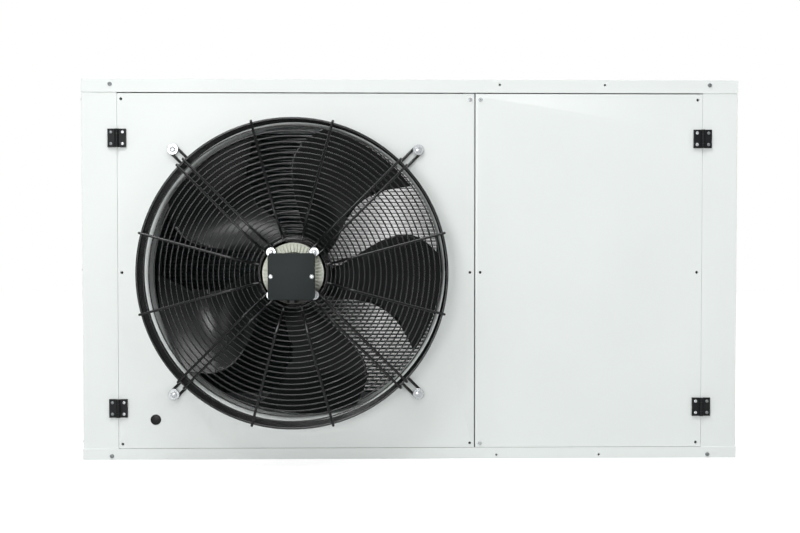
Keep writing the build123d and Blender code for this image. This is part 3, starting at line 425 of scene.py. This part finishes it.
def sweepTube(bm, path, radius, sides=10):
    # a round bar along the path: one ring of edges, extruded from point to point
    ways = []
    for i in range(len(path)):
        ahead = path[min(i + 1, len(path) - 1)] - path[i]
        behind = path[i] - path[max(i - 1, 0)]
        ways.append((ahead.normalized() + behind.normalized()).normalized())
    placed = Matrix.Translation(path[0]) @ ways[0].to_track_quat("Z", "Y").to_matrix().to_4x4()
    ring = bmesh.ops.create_circle(bm, cap_ends=True, segments=sides, radius=radius, matrix=placed)["verts"]
    edges = edgesOf(ring)
    for i in range(1, len(path)):
        made = bmesh.ops.extrude_edge_only(bm, edges=edges)["geom"]
        ring = [part for part in made if isinstance(part, bmesh.types.BMVert)]
        fresh = set(ring)
        edges = [part for part in made if isinstance(part, bmesh.types.BMEdge) and set(part.verts) <= fresh]
        turn = ways[i - 1].rotation_difference(ways[i]).to_matrix()
        bmesh.ops.rotate(bm, cent=path[i - 1], matrix=turn, verts=ring)
        bmesh.ops.translate(bm, vec=path[i] - path[i - 1], verts=ring)
    bmesh.ops.edgeloop_fill(bm, edges=edges)


def spinRing(bm, start, wire, sides, middle, axis, around):
    # a small circle at its start, spun once round the axis
    ring = bmesh.ops.create_circle(bm, segments=sides, radius=wire, matrix=start)["verts"]
    bmesh.ops.spin(
        bm,
        geom=ring + edgesOf(ring),
        cent=middle,
        axis=axis,
        angle=2 * math.pi,
        steps=around,
        use_merge=True,
    )


def addHoop(bm, radius, height, wire, sides=8, around=128):
    # a round bar bent into a ring, its middle this far in front of the door
    start = Matrix.Translation((fanX + radius, faceY - height, fanZ))
    spinRing(bm, start, wire, sides, (fanX, faceY - height, fanZ), (0, 1, 0), around)


def polar(radius, angle, height, across=0.0):
    # a point in front of the door: along a spoke, beside it and forwards
    turn = math.radians(angle)
    along = Vector((math.cos(turn), 0, math.sin(turn)))
    beside = Vector((-math.sin(turn), 0, math.cos(turn)))
    return Vector((fanX, faceY - height, fanZ)) + along * radius + beside * across


# fan guard
guard = {
    "wire": 0.0028,
    "legWire": 0.0031,
    "legSpread": 0.0086,
    "hoopWire": 0.0015,
    "rimRadius": 0.321,
    "kneeRadius": 0.127,
    "kneeHeight": 0.140,
    "rimHeight": 0.122,
    "spokeEnd": 0.329,
    "seatHeight": 0.1065,
    "flatEnd": 0.084,
    "spokeStart": 0.073,
    "earRadius": 0.063,
    "armSpread": 0.0088,
    "firstHoop": 0.0705,
    "centrePitch": 0.0095,
    "facePitch": 0.0112,
    "centreHoops": 7,
    "faceHoops": 16,
    "collarRadius": 0.322,
    "collarFirst": 0.038,
    "collarPitch": 0.0125,
    "collarHoops": 6,
    "hookDepth": 0.007,
    "boltCircle": 0.3748,
    "legRadius": 0.3264,
    "bend": 0.014,
    "legBend": 0.009,
    "hoopGap": 0.0004,
}


def wireHeight(radius):
    if radius < guard["flatEnd"]:
        return guard["seatHeight"]
    if radius < guard["kneeRadius"]:
        share = (radius - guard["flatEnd"]) / (guard["kneeRadius"] - guard["flatEnd"])
        return guard["seatHeight"] + (guard["kneeHeight"] - guard["seatHeight"]) * share
    share = (radius - guard["kneeRadius"]) / (guard["spokeEnd"] - guard["kneeRadius"])
    return guard["kneeHeight"] + (guard["rimHeight"] - guard["kneeHeight"]) * share


def halfLoop(angle, centreRadius, height, side, inward):
    # the bent end of a hairpin, from its one leg round to the other
    reach = -side if inward else side
    turns = [math.radians(90 - 180 * i / 10) for i in range(1, 10)]
    return [polar(centreRadius + reach * math.cos(t), angle, height, side * math.sin(t)) for t in turns]


bm = bmesh.new()
hookRadius = guard["spokeEnd"] - guard["wire"]
wireLine = [(hookRadius, guard["rimHeight"] - guard["hookDepth"]), (hookRadius, guard["rimHeight"])]
wireLine += [(guard["kneeRadius"], guard["kneeHeight"]), (guard["flatEnd"], guard["seatHeight"])]
spokeLine = wireLine + [(guard["spokeStart"], guard["seatHeight"])]
armLine = wireLine + [(guard["earRadius"], guard["seatHeight"])]
for quarter in range(4):
    for angle in (quarter * 90 - 15, quarter * 90 + 15):
        sweepTube(bm, roundedPath([polar(r, angle, h) for r, h in spokeLine], guard["bend"]), guard["wire"])
    angle = quarter * 90 + 45
    side = guard["armSpread"]
    oneLeg = roundedPath([polar(r, angle, h, side) for r, h in armLine], guard["bend"])
    otherLeg = roundedPath([polar(r, angle, h, -side) for r, h in armLine], guard["bend"])
    loop = halfLoop(angle, guard["earRadius"], guard["seatHeight"], side, True)
    sweepTube(bm, oneLeg + loop + otherLeg[::-1], guard["wire"])
hoopRadii = [guard["firstHoop"] + i * guard["centrePitch"] for i in range(guard["centreHoops"])]
hoopRadii += [hoopRadii[-1] + (i + 1) * guard["facePitch"] for i in range(guard["faceHoops"])]
for radius in hoopRadii:
    lowest = min(wireHeight(radius - guard["hoopWire"]), wireHeight(radius + guard["hoopWire"]))
    addHoop(bm, radius, lowest - guard["wire"] - guard["hoopWire"] - guard["hoopGap"], guard["hoopWire"])
addHoop(bm, guard["rimRadius"], wireHeight(guard["rimRadius"]) - 2 * guard["wire"], guard["wire"], 12, 160)
for i in range(guard["collarHoops"]):
    height = guard["collarFirst"] + i * guard["collarPitch"]
    addHoop(bm, guard["collarRadius"], height, guard["hoopWire"], 8, 160)
newPiece(bm, "guard_round_wire", "fan_door", "guard_coating", ("guard_grille",), 60)

bm = bmesh.new()
for quarter in range(4):
    angle = quarter * 90 + 45
    side = guard["legSpread"]
    top = wireHeight(guard["legRadius"]) - 2 * guard["wire"]
    low = guard["legWire"]
    shape = [(guard["legRadius"], top), (guard["legRadius"], low), (guard["boltCircle"], low)]
    oneLeg = roundedPath([polar(r, angle, h, side) for r, h in shape], guard["legBend"])
    otherLeg = roundedPath([polar(r, angle, h, -side) for r, h in shape], guard["legBend"])
    loop = halfLoop(angle, guard["boltCircle"], low, side, False)
    sweepTube(bm, oneLeg + loop + otherLeg[::-1], guard["legWire"])
newPiece(bm, "guard_hairpin_legs", "fan_door", "guard_coating", ("guard_legs",), 60)
print("guard made")

# condenser coil: flat tubes, with a folded fin between each pair
coil = {
    "left": -0.672,
    "right": 0.092,
    "bottom": 0.050,
    "middleY": 0.338,
    "depth": 0.025,
    "tubePitch": 0.010,
    "tubeHeight": 0.002,
    "tubeRound": 0.0009,
    "tubes": 73,
    "finSpacing": 0.0015,
    "finSheets": {"lower": 0.0009, "upper": 0.0005},
    "finLean": 0.00033,
}

bm = bmesh.new()
length = coil["right"] - coil["left"]
middleX = (coil["right"] + coil["left"]) / 2
place = Matrix.Translation((middleX, coil["middleY"], coil["bottom"]))
size = Matrix.Diagonal((length, coil["depth"], coil["tubeHeight"], 1))
bmesh.ops.create_cube(bm, size=1, matrix=place @ size)
longEdges = [edge for edge in bm.edges if abs(edge.verts[0].co.x - edge.verts[1].co.x) > 0.1]
roundEdges(bm, longEdges, coil["tubeRound"], 3)


def stackUp(bm, steps):
    # copies of all that is in the mesh, each one pitch above the last
    bmesh.ops.spin(
        bm,
        geom=bm.verts[:] + bm.edges[:] + bm.faces[:],
        cent=(0, 0, 0),
        axis=(0, 0, 1),
        dvec=(0, 0, coil["tubePitch"]),
        angle=0,
        steps=steps,
        use_duplicate=True,
    )


stackUp(bm, coil["tubes"] - 1)
newPiece(bm, "coil_tubes", "housing", "coil_aluminium", ("condenser_core",))

for half, rowsBelow, rows in (("lower", 0, 36), ("upper", 36, 36)):
    bm = bmesh.new()
    low = coil["bottom"] + rowsBelow * coil["tubePitch"] + coil["tubeHeight"] / 2
    sheet = coil["finSheets"][half]
    start = coil["left"] + sheet
    front = bm.verts.new((start, coil["middleY"] - coil["depth"] / 2, low))
    back = bm.verts.new((start + coil["finLean"], coil["middleY"] + coil["depth"] / 2, low))
    edge = bm.edges.new((front, back))
    rise = coil["tubePitch"] - coil["tubeHeight"]
    for i in range(int(length / coil["finSpacing"]) - 1):
        made = bmesh.ops.extrude_edge_only(bm, edges=[edge])["geom"]
        fresh = [part for part in made if isinstance(part, bmesh.types.BMVert)]
        madeEdges = [part for part in made if isinstance(part, bmesh.types.BMEdge)]
        edge = [part for part in madeEdges if set(part.verts) <= set(fresh)][0]
        bmesh.ops.translate(bm, vec=(coil["finSpacing"], 0, rise if i % 2 == 0 else -rise), verts=fresh)
    bmesh.ops.solidify(bm, geom=bm.faces[:], thickness=sheet)
    stackUp(bm, rows - 1)
    newPiece(bm, "coil_fins_" + half, "housing", "coil_aluminium", ("condenser_core",))
print("coil made")

# motor flange: a ring of short cooling fins with four ears
motor = {
    "front": 0.104,
    "discStep": 0.0005,
    "finRound": 0.0005,
    "length": 0.020,
    "discRadius": 0.045,
    "plateRadius": 0.0640,
    "plate": 0.012,
    "finRadius": 0.0645,
    "finStart": 0.041,
    "fins": 48,
    "finWidth": 0.0036,
    "slope": 0.005,
    "earCircle": 0.063,
    "earReach": 0.0685,
    "earRadius": 0.011,
    "earThickness": 0.008,
}

bm = bmesh.new()
turned = Matrix.Rotation(math.radians(90), 4, "X")
for radius, deep, front in (
    (motor["discRadius"], motor["length"], motor["front"] - motor["discStep"]),
    (motor["plateRadius"], motor["plate"], motor["front"] - motor["length"] + motor["plate"]),
):
    place = Matrix.Translation((fanX, faceY - front + deep / 2, fanZ)) @ turned
    bmesh.ops.create_cone(
        bm, cap_ends=True, segments=96, radius1=radius, radius2=radius, depth=deep, matrix=place
    )
reach = motor["finRadius"] - motor["finStart"]
centre = (fanX + motor["finStart"] + reach / 2, faceY - motor["front"] + motor["length"] / 2, fanZ)
size = Matrix.Diagonal((reach, motor["length"], motor["finWidth"], 1))
fin = bmesh.ops.create_cube(bm, size=1, matrix=Matrix.Translation(centre) @ size)["verts"]
outerFront = [vert for vert in fin if vert.co.x > centre[0] and vert.co.y < centre[1]]
bmesh.ops.translate(bm, vec=(-motor["slope"] * 0.5, motor["slope"], 0), verts=outerFront)
finEdges = edgesOf(fin)
roundEdges(bm, finEdges, motor["finRound"], 1)
finSide = fanX + motor["finStart"] - 0.001
finVerts = [vert for vert in bm.verts if vert.co.x > finSide and abs(vert.co.z - fanZ) < motor["finWidth"]]
finVerts = [
    vert
    for vert in finVerts
    if all(abs(v.co.z - fanZ) < 0.004 for edge in vert.link_edges for v in edge.verts)
]
finGeom = finVerts + edgesOf(finVerts) + list({face for vert in finVerts for face in vert.link_faces})
turnStep = 2 * math.pi / motor["fins"]
bmesh.ops.spin(
    bm,
    geom=finGeom,
    cent=(fanX, faceY, fanZ),
    axis=(0, 1, 0),
    angle=2 * math.pi - turnStep,
    steps=motor["fins"] - 1,
    use_duplicate=True,
)
for quarter in range(4):
    middle = motor["front"] - motor["earThickness"] / 2
    place = Matrix.Translation(polar(motor["earCircle"], 45 + quarter * 90, middle))
    ear = bmesh.ops.create_cone(
        bm,
        cap_ends=True,
        segments=32,
        radius1=motor["earRadius"],
        radius2=motor["earRadius"],
        depth=motor["earThickness"],
        matrix=place @ turned,
    )["verts"]
    for vert in ear:  # the ear is cut back along a circle round the motor's axis
        out = Vector((vert.co.x - fanX, 0, vert.co.z - fanZ))
        if out.length > motor["earReach"]:
            out *= motor["earReach"] / out.length
            vert.co.x = fanX + out.x
            vert.co.z = fanZ + out.z
newPiece(bm, "motor_finned_flange", "fan_door", "cast_aluminium", ("motor_stator",), 30)
print("motor made")

# folded sheet pieces
sheetNodes = (
    "base_pan top_cover front_left_post front_right_post back_left_post back_right_post centre_post "
    "back_centre_post partition left_side_panel right_side_panel back_panel fan_door service_door "
    "electrical_box electrical_box_lid coil_brackets"
)
# x and z of each empty hole, and how far it moves along
emptyHoles = {
    "top_cover": ((-0.470, 0.814, 0.662), (0.027, 0.814, 0.394)),
    "base_pan": ((-0.486, 0.008, 0.6725), (0.010, 0.008, 0.401)),
}
doorReach = {"bottom": 0.0007, "top": 0.001, "seam": 0.0007}
doorEdges = {}
for node, seamSide in (("fan_door", 0), ("service_door", 1)):
    spots = [vert.co for vert in nodes[node].data.vertices]
    low = min(spot.z for spot in spots)
    high = max(spot.z for spot in spots)
    seam = max(spot.x for spot in spots) if seamSide else min(spot.x for spot in spots)
    outwards = doorReach["seam"] if seamSide else -doorReach["seam"]
    doorEdges[node] = ((2, low, -doorReach["bottom"]), (2, high, doorReach["top"]), (0, seam, outwards))
for node in sheetNodes.split():
    dressSheet(node, moves=doorEdges.get(node, ()), holes=emptyHoles.get(node, ()))
for node in ("fan_door_gasket", "service_door_gasket"):
    dressSheet(node, 0.0005)
print("sheets made")

# hinges, screws, bolts and the plug
fixings = {
    "seamX": 0.635,
    "hingeHeights": (0.1125, 0.6975),
    "hingePitch": 0.0125,
    "leaf": 0.005,
    "hingeHead": (0.0034, 0.0016, 0.009),
    "casingX": 0.65,
    "casingFront": -0.39,
    "lipZ": 0.814,
    "railZ": 0.008,
    "sideX": 0.7125,
    "sideY": 0.373,
    "rowHeights": (0.038, 0.4125, 0.7825),
    "backX": (0.1525, 0.6955),
    "head": 0.0045,
    "headRise": 0.003,
    "shankLength": 0.004,
    "doorShankLength": 0.030,
}

for node in ("post_hinge_leaves", "fan_door_hinge_leaves", "service_door_hinge_leaves"):
    softenEdges(dressNode(node, 0), 0.0005, 50)
dressNode("hinge_pins", 0)

for node, body, seams in (
    ("post_hinge_screws", "housing", ((-1, -1), (1, 1))),
    ("fan_door_hinge_screws", "fan_door", ((-1, 1),)),
    ("service_door_hinge_screws", "service_door", ((1, -1),)),
):
    bm = bmesh.new()
    for side, away in seams:
        for middle in fixings["hingeHeights"]:
            for shift in (-1, 1):
                x = side * fixings["seamX"] + away * fixings["hingePitch"]
                z = middle + shift * fixings["hingePitch"]
                panHead(bm, *fixings["hingeHead"], outward(x, faceY - fixings["leaf"], z, "front"))
    newPiece(bm, node + "_turned", body, slotOf[node], (node,))

places = []
for side in (-1, 1):
    way = "left" if side < 0 else "right"
    for z in (fixings["lipZ"], fixings["railZ"]):
        places.append((side * fixings["casingX"], fixings["casingFront"], z, "front"))
    for turn in (-1, 1):
        places += [(side * fixings["sideX"], turn * fixings["sideY"], z, way) for z in fixings["rowHeights"]]
places += [(x, -fixings["casingFront"], z, "back") for x in fixings["backX"] for z in fixings["rowHeights"]]
bm = bmesh.new()
for place in places:
    panHead(bm, fixings["head"], fixings["headRise"], fixings["shankLength"], outward(*place))
newPiece(bm, "casing_pan_screws", "housing", "dull_zinc", ("casing_screws",))

for node, body, spots in (
    ("fan_door_screw", "fan_door", ((0.128, 0.782),)),
    ("service_door_screws", "service_door", ((0.1505, 0.782), (0.1505, 0.034))),
):
    bm = bmesh.new()
    for x, z in spots:
        place = outward(x, faceY, z, "front")
        panHead(bm, fixings["head"], fixings["headRise"], fixings["doorShankLength"], place)
    newPiece(bm, node + "_turned", body, slotOf[node], (node,))

guardBolts = {
    "reach": 0.265,
    "washer": (0.012, 0.002),
    "head": 0.0065,
    "headRise": 0.0055,
    "shank": 0.004,
    "shankLength": 0.014,
}
reaches = (-guardBolts["reach"], guardBolts["reach"])
boltSpots = [(fanX + x, fanZ + z) for x in reaches for z in reaches]
bm = bmesh.new()
radius, thick = guardBolts["washer"]
for x, z in boltSpots:
    place = outward(x, faceY - 2 * guard["legWire"], z, "front")
    inner = guardBolts["shank"] + 0.0004
    section = [(inner, 0), (inner, thick), (radius - 0.0008, thick), (radius, thick - 0.0006), (radius, 0)]
    lathe(bm, section + section[:1], place, 48)
newPiece(bm, "guard_round_washers", "fan_door", "zinc_plating", ("guard_washers",))
bm = bmesh.new()
for x, z in boltSpots:
    place = outward(x, faceY - 2 * guard["legWire"] - thick, z, "front")
    hexagon(bm, guardBolts["head"], 0, guardBolts["headRise"], place)
    shank = guardBolts["shank"]
    tip = -guardBolts["shankLength"]
    lathe(bm, [(0, 0), (shank, 0), (shank, tip), (0, tip)], place, 16)
newPiece(bm, "guard_hex_bolts", "fan_door", "zinc_plating", ("guard_bolts",))

plug = {"x": -0.555, "z": 0.087, "radius": 0.0115, "lip": 0.002, "neck": 0.0091, "length": 0.010}
bm = bmesh.new()
crown = [(0, plug["lip"]), (plug["radius"] * 0.8, plug["lip"]), (plug["radius"] * 0.95, plug["lip"] * 0.7)]
crown += [(plug["radius"], plug["lip"] * 0.2), (plug["radius"], 0)]
stem = [(plug["neck"], 0), (plug["neck"], -plug["length"]), (0, -plug["length"])]
lathe(bm, crown + stem, outward(plug["x"], faceY, plug["z"], "front"), 40)
newPiece(bm, "hole_plug_domed", "fan_door", "plug_plastic", ("hole_plug",))
print("fixings made")

# terminal box, its lid and screws, the cable gland and the motor's screws
box = {
    "z": fanZ - 0.005,
    "spread": 0.042,
    "corner": 0.008,
    "lidFront": 0.150,
    "lidRound": 0.0012,
    "screw": (0.0045, 0.0015, 0.004),
    "washer": (0.010, 0.002),
    "seat": 0.109,
    "head": 0.006,
    "headRise": 0.0045,
}
softenEdges(dressNode("terminal_box", 0), 0.001, 50)
lidSpots = [vert.co for vert in nodes["terminal_box_lid"].data.vertices]
lidLow = Vector([min(spot[axis] for spot in lidSpots) for axis in range(3)])
lidHigh = Vector([max(spot[axis] for spot in lidSpots) for axis in range(3)])
bm = bmesh.new()
size = Matrix.Diagonal((*(lidHigh - lidLow), 1))
bmesh.ops.create_cube(bm, size=1, matrix=Matrix.Translation((lidLow + lidHigh) / 2) @ size)
uprights = [edge for edge in bm.edges if abs(edge.verts[0].co.y - edge.verts[1].co.y) > 0.001]
roundEdges(bm, uprights, box["corner"], 8)
frontRim = [edge for edge in bm.edges if all(vert.co.y < lidLow.y + 0.0001 for vert in edge.verts)]
roundEdges(bm, frontRim, box["lidRound"], 3)
newPiece(bm, "terminal_box_moulded_lid", "fan_door", slotOf["terminal_box_lid"], ("terminal_box_lid",))
bm = bmesh.new()
for side in (-1, 1):
    place = outward(fanX + side * box["spread"], faceY - box["lidFront"], box["z"], "front")
    panHead(bm, *box["screw"], place)
newPiece(bm, "terminal_box_pan_screws", "fan_door", "zinc_plating", ("terminal_box_screws",))
bm = bmesh.new()
radius, thick = box["washer"]
for quarter in range(4):
    spot = polar(motor["earCircle"], 45 + quarter * 90, box["seat"])
    place = outward(*spot, "front")
    section = [(0, -0.010), (0.003, -0.010), (0.003, 0), (radius, 0), (radius, thick - 0.0006)]
    lathe(bm, section + [(radius - 0.0006, thick), (0, thick)], place, 40)
    hexagon(bm, box["head"], thick, thick + box["headRise"], place)
newPiece(bm, "motor_hex_screws", "fan_door", "zinc_plating", ("motor_screws",))
for node in ("motor_gland", "motor_windings", "motor_bearings", "motor_rotor", "motor_shaft", "impeller"):
    dressNode(node, 0)
print("motor dressed")

# machine compartment
room = {
    "compressor": (0.400, 0.020),
    "shellRadius": 0.092,
    "footTop": 0.0245,
    "shellHeight": 0.430,
    "receiver": (0.585, 0.230),
    "receiverRadius": 0.080,
    "receiverLow": 0.0425,
    "receiverHeight": 0.380,
    "large": 0.0143,
    "small": 0.008,
    "bend": 0.038,
    "valveY": 0.3535,
    "dome": 0.035,
    "plate": 0.005,
    "footSquare": 0.2205,
    "footReach": 0.09525,
    "footRadius": 0.015,
    "footLow": 0.0025,
    "skirtLow": 0.0025,
    "drierRadius": 0.024,
    "drierEnds": (0.270, 0.330),
    "sides": 20,
    "plateCorner": 0.014,
    "shellTurn": 0.03,
    "receiverTurn": 0.028,
    "shellWeld": 0.0018,
    "receiverWeld": 0.0016,
    "weldSink": 0.0004,
    "weldInset": 0.006,
    "headerX": 0.1223,
    "drierZ": 0.500,
}


def pipeRun(name, node, radius, *runs):
    bm = bmesh.new()
    for run in runs:
        path = roundedPath([Vector(point) for point in run], room["bend"], 8)
        sweepTube(bm, path, radius, room["sides"])
    return newPiece(bm, name, "housing", slotOf[node], (node,), 50)


cx, cy = room["compressor"]
rx, ry = room["receiver"]
shellTop = room["footTop"] + room["shellHeight"]
headerX = room["headerX"]
pipeRun(
    "suction_round_pipe",
    "suction_pipe",
    room["large"],
    (
        (0.310, room["valveY"], 0.330),
        (0.310, 0.165, 0.330),
        (0.310, 0.165, 0.180),
        (cx, 0.165, 0.180),
        (cx, cy + 0.0923, 0.180),
    ),
)
pipeRun(
    "discharge_round_pipe",
    "discharge_pipe",
    room["small"],
    ((cx, cy, shellTop), (cx, cy, 0.740), (cx, 0.338, 0.740), (headerX, 0.338, 0.740)),
)
pipeRun(
    "condensate_round_pipe",
    "condensate_pipe",
    room["small"],
    ((headerX, 0.338, 0.080), (0.3135, 0.338, 0.080), (0.3135, ry, 0.080), (rx - 0.0803, ry, 0.080)),
)
pipeRun(
    "liquid_round_pipe",
    "liquid_pipe",
    room["small"],
    ((rx, ry, 0.4225), (rx, ry, 0.500), (rx, ry + 0.040, 0.500)),
    ((rx, ry + 0.100, 0.500), (rx, room["valveY"], 0.500)),
)


def dome(radius, low, high, turnRadius, steps=6):
    # pairs of radius and height over a pressed end, from its middle out to its straight wall
    pairs = [(0, high)]
    for i in range(1, steps + 1):
        pairs.append(((radius - turnRadius) * i / steps, high - (high - low) * 0.35 * (i / steps) ** 2))
    crownEdge = pairs[-1][1]
    for i in range(1, steps + 1):
        turn = math.radians(90 * i / steps)
        pairs.append((radius - turnRadius * (1 - math.sin(turn)), low + (crownEdge - low) * math.cos(turn)))
    return pairs


def vessel(bm, x, y, radius, low, high, turnRadius):
    # a welded shell with two pressed ends
    top = dome(radius, high - room["dome"], high, turnRadius)
    bottom = dome(radius, low + room["dome"], low, turnRadius)
    lathe(bm, top + bottom[::-1], outward(x, y, 0, "up"), 64)


def weldSeams(bm, x, y, radius, low, high, bead):
    # a bead round each end of the vessel's straight wall
    for z in (high - room["dome"] - room["weldInset"], low + room["dome"] + room["weldInset"]):
        start = Matrix.Translation((x + radius - room["weldSink"], y, z)) @ turned
        spinRing(bm, start, bead, 8, (x, y, z), (0, 0, 1), 64)


bm = bmesh.new()
shellLow = room["footTop"] + room["plate"]
vessel(bm, cx, cy, room["shellRadius"], shellLow, shellTop, room["shellTurn"])
weldSeams(bm, cx, cy, room["shellRadius"], shellLow, shellTop, room["shellWeld"])
plateSize = room["footSquare"]
size = Matrix.Diagonal((plateSize, plateSize, room["plate"], 1))
middle = Matrix.Translation((cx, cy, room["footTop"] + room["plate"] / 2))
plate = bmesh.ops.create_cube(bm, size=1, matrix=middle @ size)["verts"]
plateEdges = [e for e in edgesOf(plate) if abs(e.verts[0].co.z - e.verts[1].co.z) > 0.001]
roundEdges(bm, plateEdges, room["plateCorner"], 6)
newPiece(bm, "compressor_welded_shell", "housing", slotOf["compressor_shell"], ("compressor_shell",))

bm = bmesh.new()
foot = room["footRadius"]
low = room["footLow"]
high = room["footTop"]
waist = [(0, low), (foot, low), (foot, low + 0.005), (foot * 0.78, low + 0.009), (foot * 0.78, high - 0.006)]
waist += [(foot, high - 0.003), (foot, high), (0, high)]
reaches = (-room["footReach"], room["footReach"])
for x in reaches:
    for y in reaches:
        lathe(bm, waist, outward(cx + x, cy + y, 0, "up"), 32)
newPiece(bm, "compressor_waisted_feet", "housing", slotOf["compressor_feet"], ("compressor_feet",))

bm = bmesh.new()
low = room["receiverLow"]
high = low + room["receiverHeight"]
wide = room["receiverRadius"]
vessel(bm, rx, ry, wide, low, high, room["receiverTurn"])
outer = wide * 0.75
inner = outer - 0.003
base = room["skirtLow"]
sleeve = [(inner, base), (outer, base), (outer, low + 0.012), (inner, low + 0.012), (inner, base)]
lathe(bm, sleeve, outward(rx, ry, 0, "up"), 64)
weldSeams(bm, rx, ry, wide, low, high, room["receiverWeld"])
newPiece(bm, "liquid_receiver_welded", "housing", slotOf["liquid_receiver"], ("liquid_receiver",))

bm = bmesh.new()
low, high = room["drierEnds"]
wide = room["drierRadius"]
neck = room["small"] + 0.002
body = [(0, low), (neck, low), (neck, low + 0.003), (wide - 0.004, low + 0.008), (wide, low + 0.012)]
body += [(wide, high - 0.012), (wide - 0.004, high - 0.008), (neck, high - 0.003), (neck, high), (0, high)]
lathe(bm, body, outward(rx, 0, room["drierZ"], "back"), 48)
newPiece(bm, "filter_drier_spun", "housing", slotOf["filter_drier"], ("filter_drier",))
for node in ("condenser_headers", "service_valves", "contactors", "pressure_switch", "reset_button"):
    dressNode(node, 0)
softenEdges(dressNode("compressor_terminal_cover", 0), 0.0015, 50)
print("machine compartment made")

# stage: floor, soft light and camera
studio = {
    "floorSize": 14,
    "floorColour": (0.53, 0.53, 0.53),
    "floorGlow": 0.68,
    "worldStrength": 0.58,
    "mirrorFront": 0.1,
    "mirrorAbove": 1.6,
    "lens": 51.75,
    "cameraPlace": (-0.0735, -2.8885, 0.4852),
    "pitch": -1.496,
    "yaw": 1.128,
}

bm = bmesh.new()
bmesh.ops.create_grid(bm, x_segments=1, y_segments=1, size=studio["floorSize"] / 2)
floorMesh = bpy.data.meshes.new("floor")
bm.to_mesh(floorMesh)
bm.free()
floorObject = bpy.data.objects.new("floor", floorMesh)
bpy.context.scene.collection.objects.link(floorObject)
floorFinish = Finish("floorPaper", studio["floorColour"], 0.9)
floorFinish.feed("Emission Color", (1, 1, 1, 1))
cameraRay = floorFinish.add("ShaderNodeLightPath", {}, {}, "Is Camera Ray")
floorFinish.feed("Emission Strength", studio["floorGlow"] * cameraRay)
floorMesh.materials.append(floorFinish.material)

world = bpy.data.worlds.new("studioWorld")
bpy.context.scene.world = world
world.use_nodes = True
worldTree = world.node_tree
background = worldTree.nodes["Background"]
background.inputs["Color"].default_value = (1, 1, 1, 1)
rays = worldTree.nodes.new("ShaderNodeLightPath")
skyPlace = worldTree.nodes.new("ShaderNodeTexCoord")
skyParts = worldTree.nodes.new("ShaderNodeSeparateXYZ")
worldTree.links.new(skyPlace.outputs["Generated"], skyParts.inputs[0])


def skyRamp(part, low, high, first, last):
    ramp = worldTree.nodes.new("ShaderNodeMapRange")
    for entry, value in (("From Min", low), ("From Max", high), ("To Min", first), ("To Max", last)):
        ramp.inputs[entry].default_value = value
    worldTree.links.new(skyParts.outputs[part], ramp.inputs["Value"])
    return ramp.outputs["Result"]


def skyLevel(factor, first, last):
    blend = worldTree.nodes.new("ShaderNodeMix")
    for entry, value in ((0, factor), (2, first), (3, last)):
        if isinstance(value, float):
            blend.inputs[entry].default_value = value
        else:
            worldTree.links.new(value, blend.inputs[entry])
    return blend.outputs[0]


# mirrored in the object: white behind it, dim in front, a bright ceiling above
mirrored = skyRamp("Z", 0.5, 0.85, studio["mirrorFront"], studio["mirrorAbove"])
mirrored = skyLevel(skyRamp("Y", -0.1, 0.25, 0.0, 1.0), mirrored, 1.0)
level = skyLevel(rays.outputs["Is Glossy Ray"], studio["worldStrength"], mirrored)
level = skyLevel(rays.outputs["Is Camera Ray"], level, 1.0)
worldTree.links.new(level, background.inputs["Strength"])

lamps = {
    "keyLamp": ((-1.64, -3.33, 3.05), (0.5, 0.5), 24),
    "topLamp": ((-0.35, -2.2, 3.9), (2.4, 0.7), 60),
    "leftLamp": ((-2.6, -2.6, 2.4), (0.5, 0.5), 4),
    "fillLamp": ((2.2, -3.6, 0.6), (1.6, 1.6), 9),
    "frontLamp": ((-0.95, -4.5, 0.65), (0.8, 0.8), 38),
    "backLamp": ((0.4, 4.0, 2.0), (2.6, 2.6), 40),
}
for name, (place, (wide, high), power) in lamps.items():
    lamp = bpy.data.lights.new(name, "AREA")
    lamp.shape = "RECTANGLE"
    lamp.size = wide
    lamp.size_y = high
    lamp.energy = power
    lampObject = bpy.data.objects.new(name, lamp)
    lampObject.location = place
    lampObject.rotation_euler = (Vector((0, 0, 0.4)) - Vector(place)).to_track_quat("-Z", "Y").to_euler()
    bpy.context.scene.collection.objects.link(lampObject)

camera = bpy.data.cameras.new("camera")
camera.lens = studio["lens"]
camera.sensor_width = 36
cameraObject = bpy.data.objects.new("camera", camera)
cameraObject.location = studio["cameraPlace"]
cameraObject.rotation_euler = (math.radians(90 + studio["pitch"]), 0, math.radians(-studio["yaw"]))
bpy.context.scene.collection.objects.link(cameraObject)
bpy.context.scene.camera = cameraObject
bpy.context.scene.view_settings.view_transform = "Standard"
print("stage made")
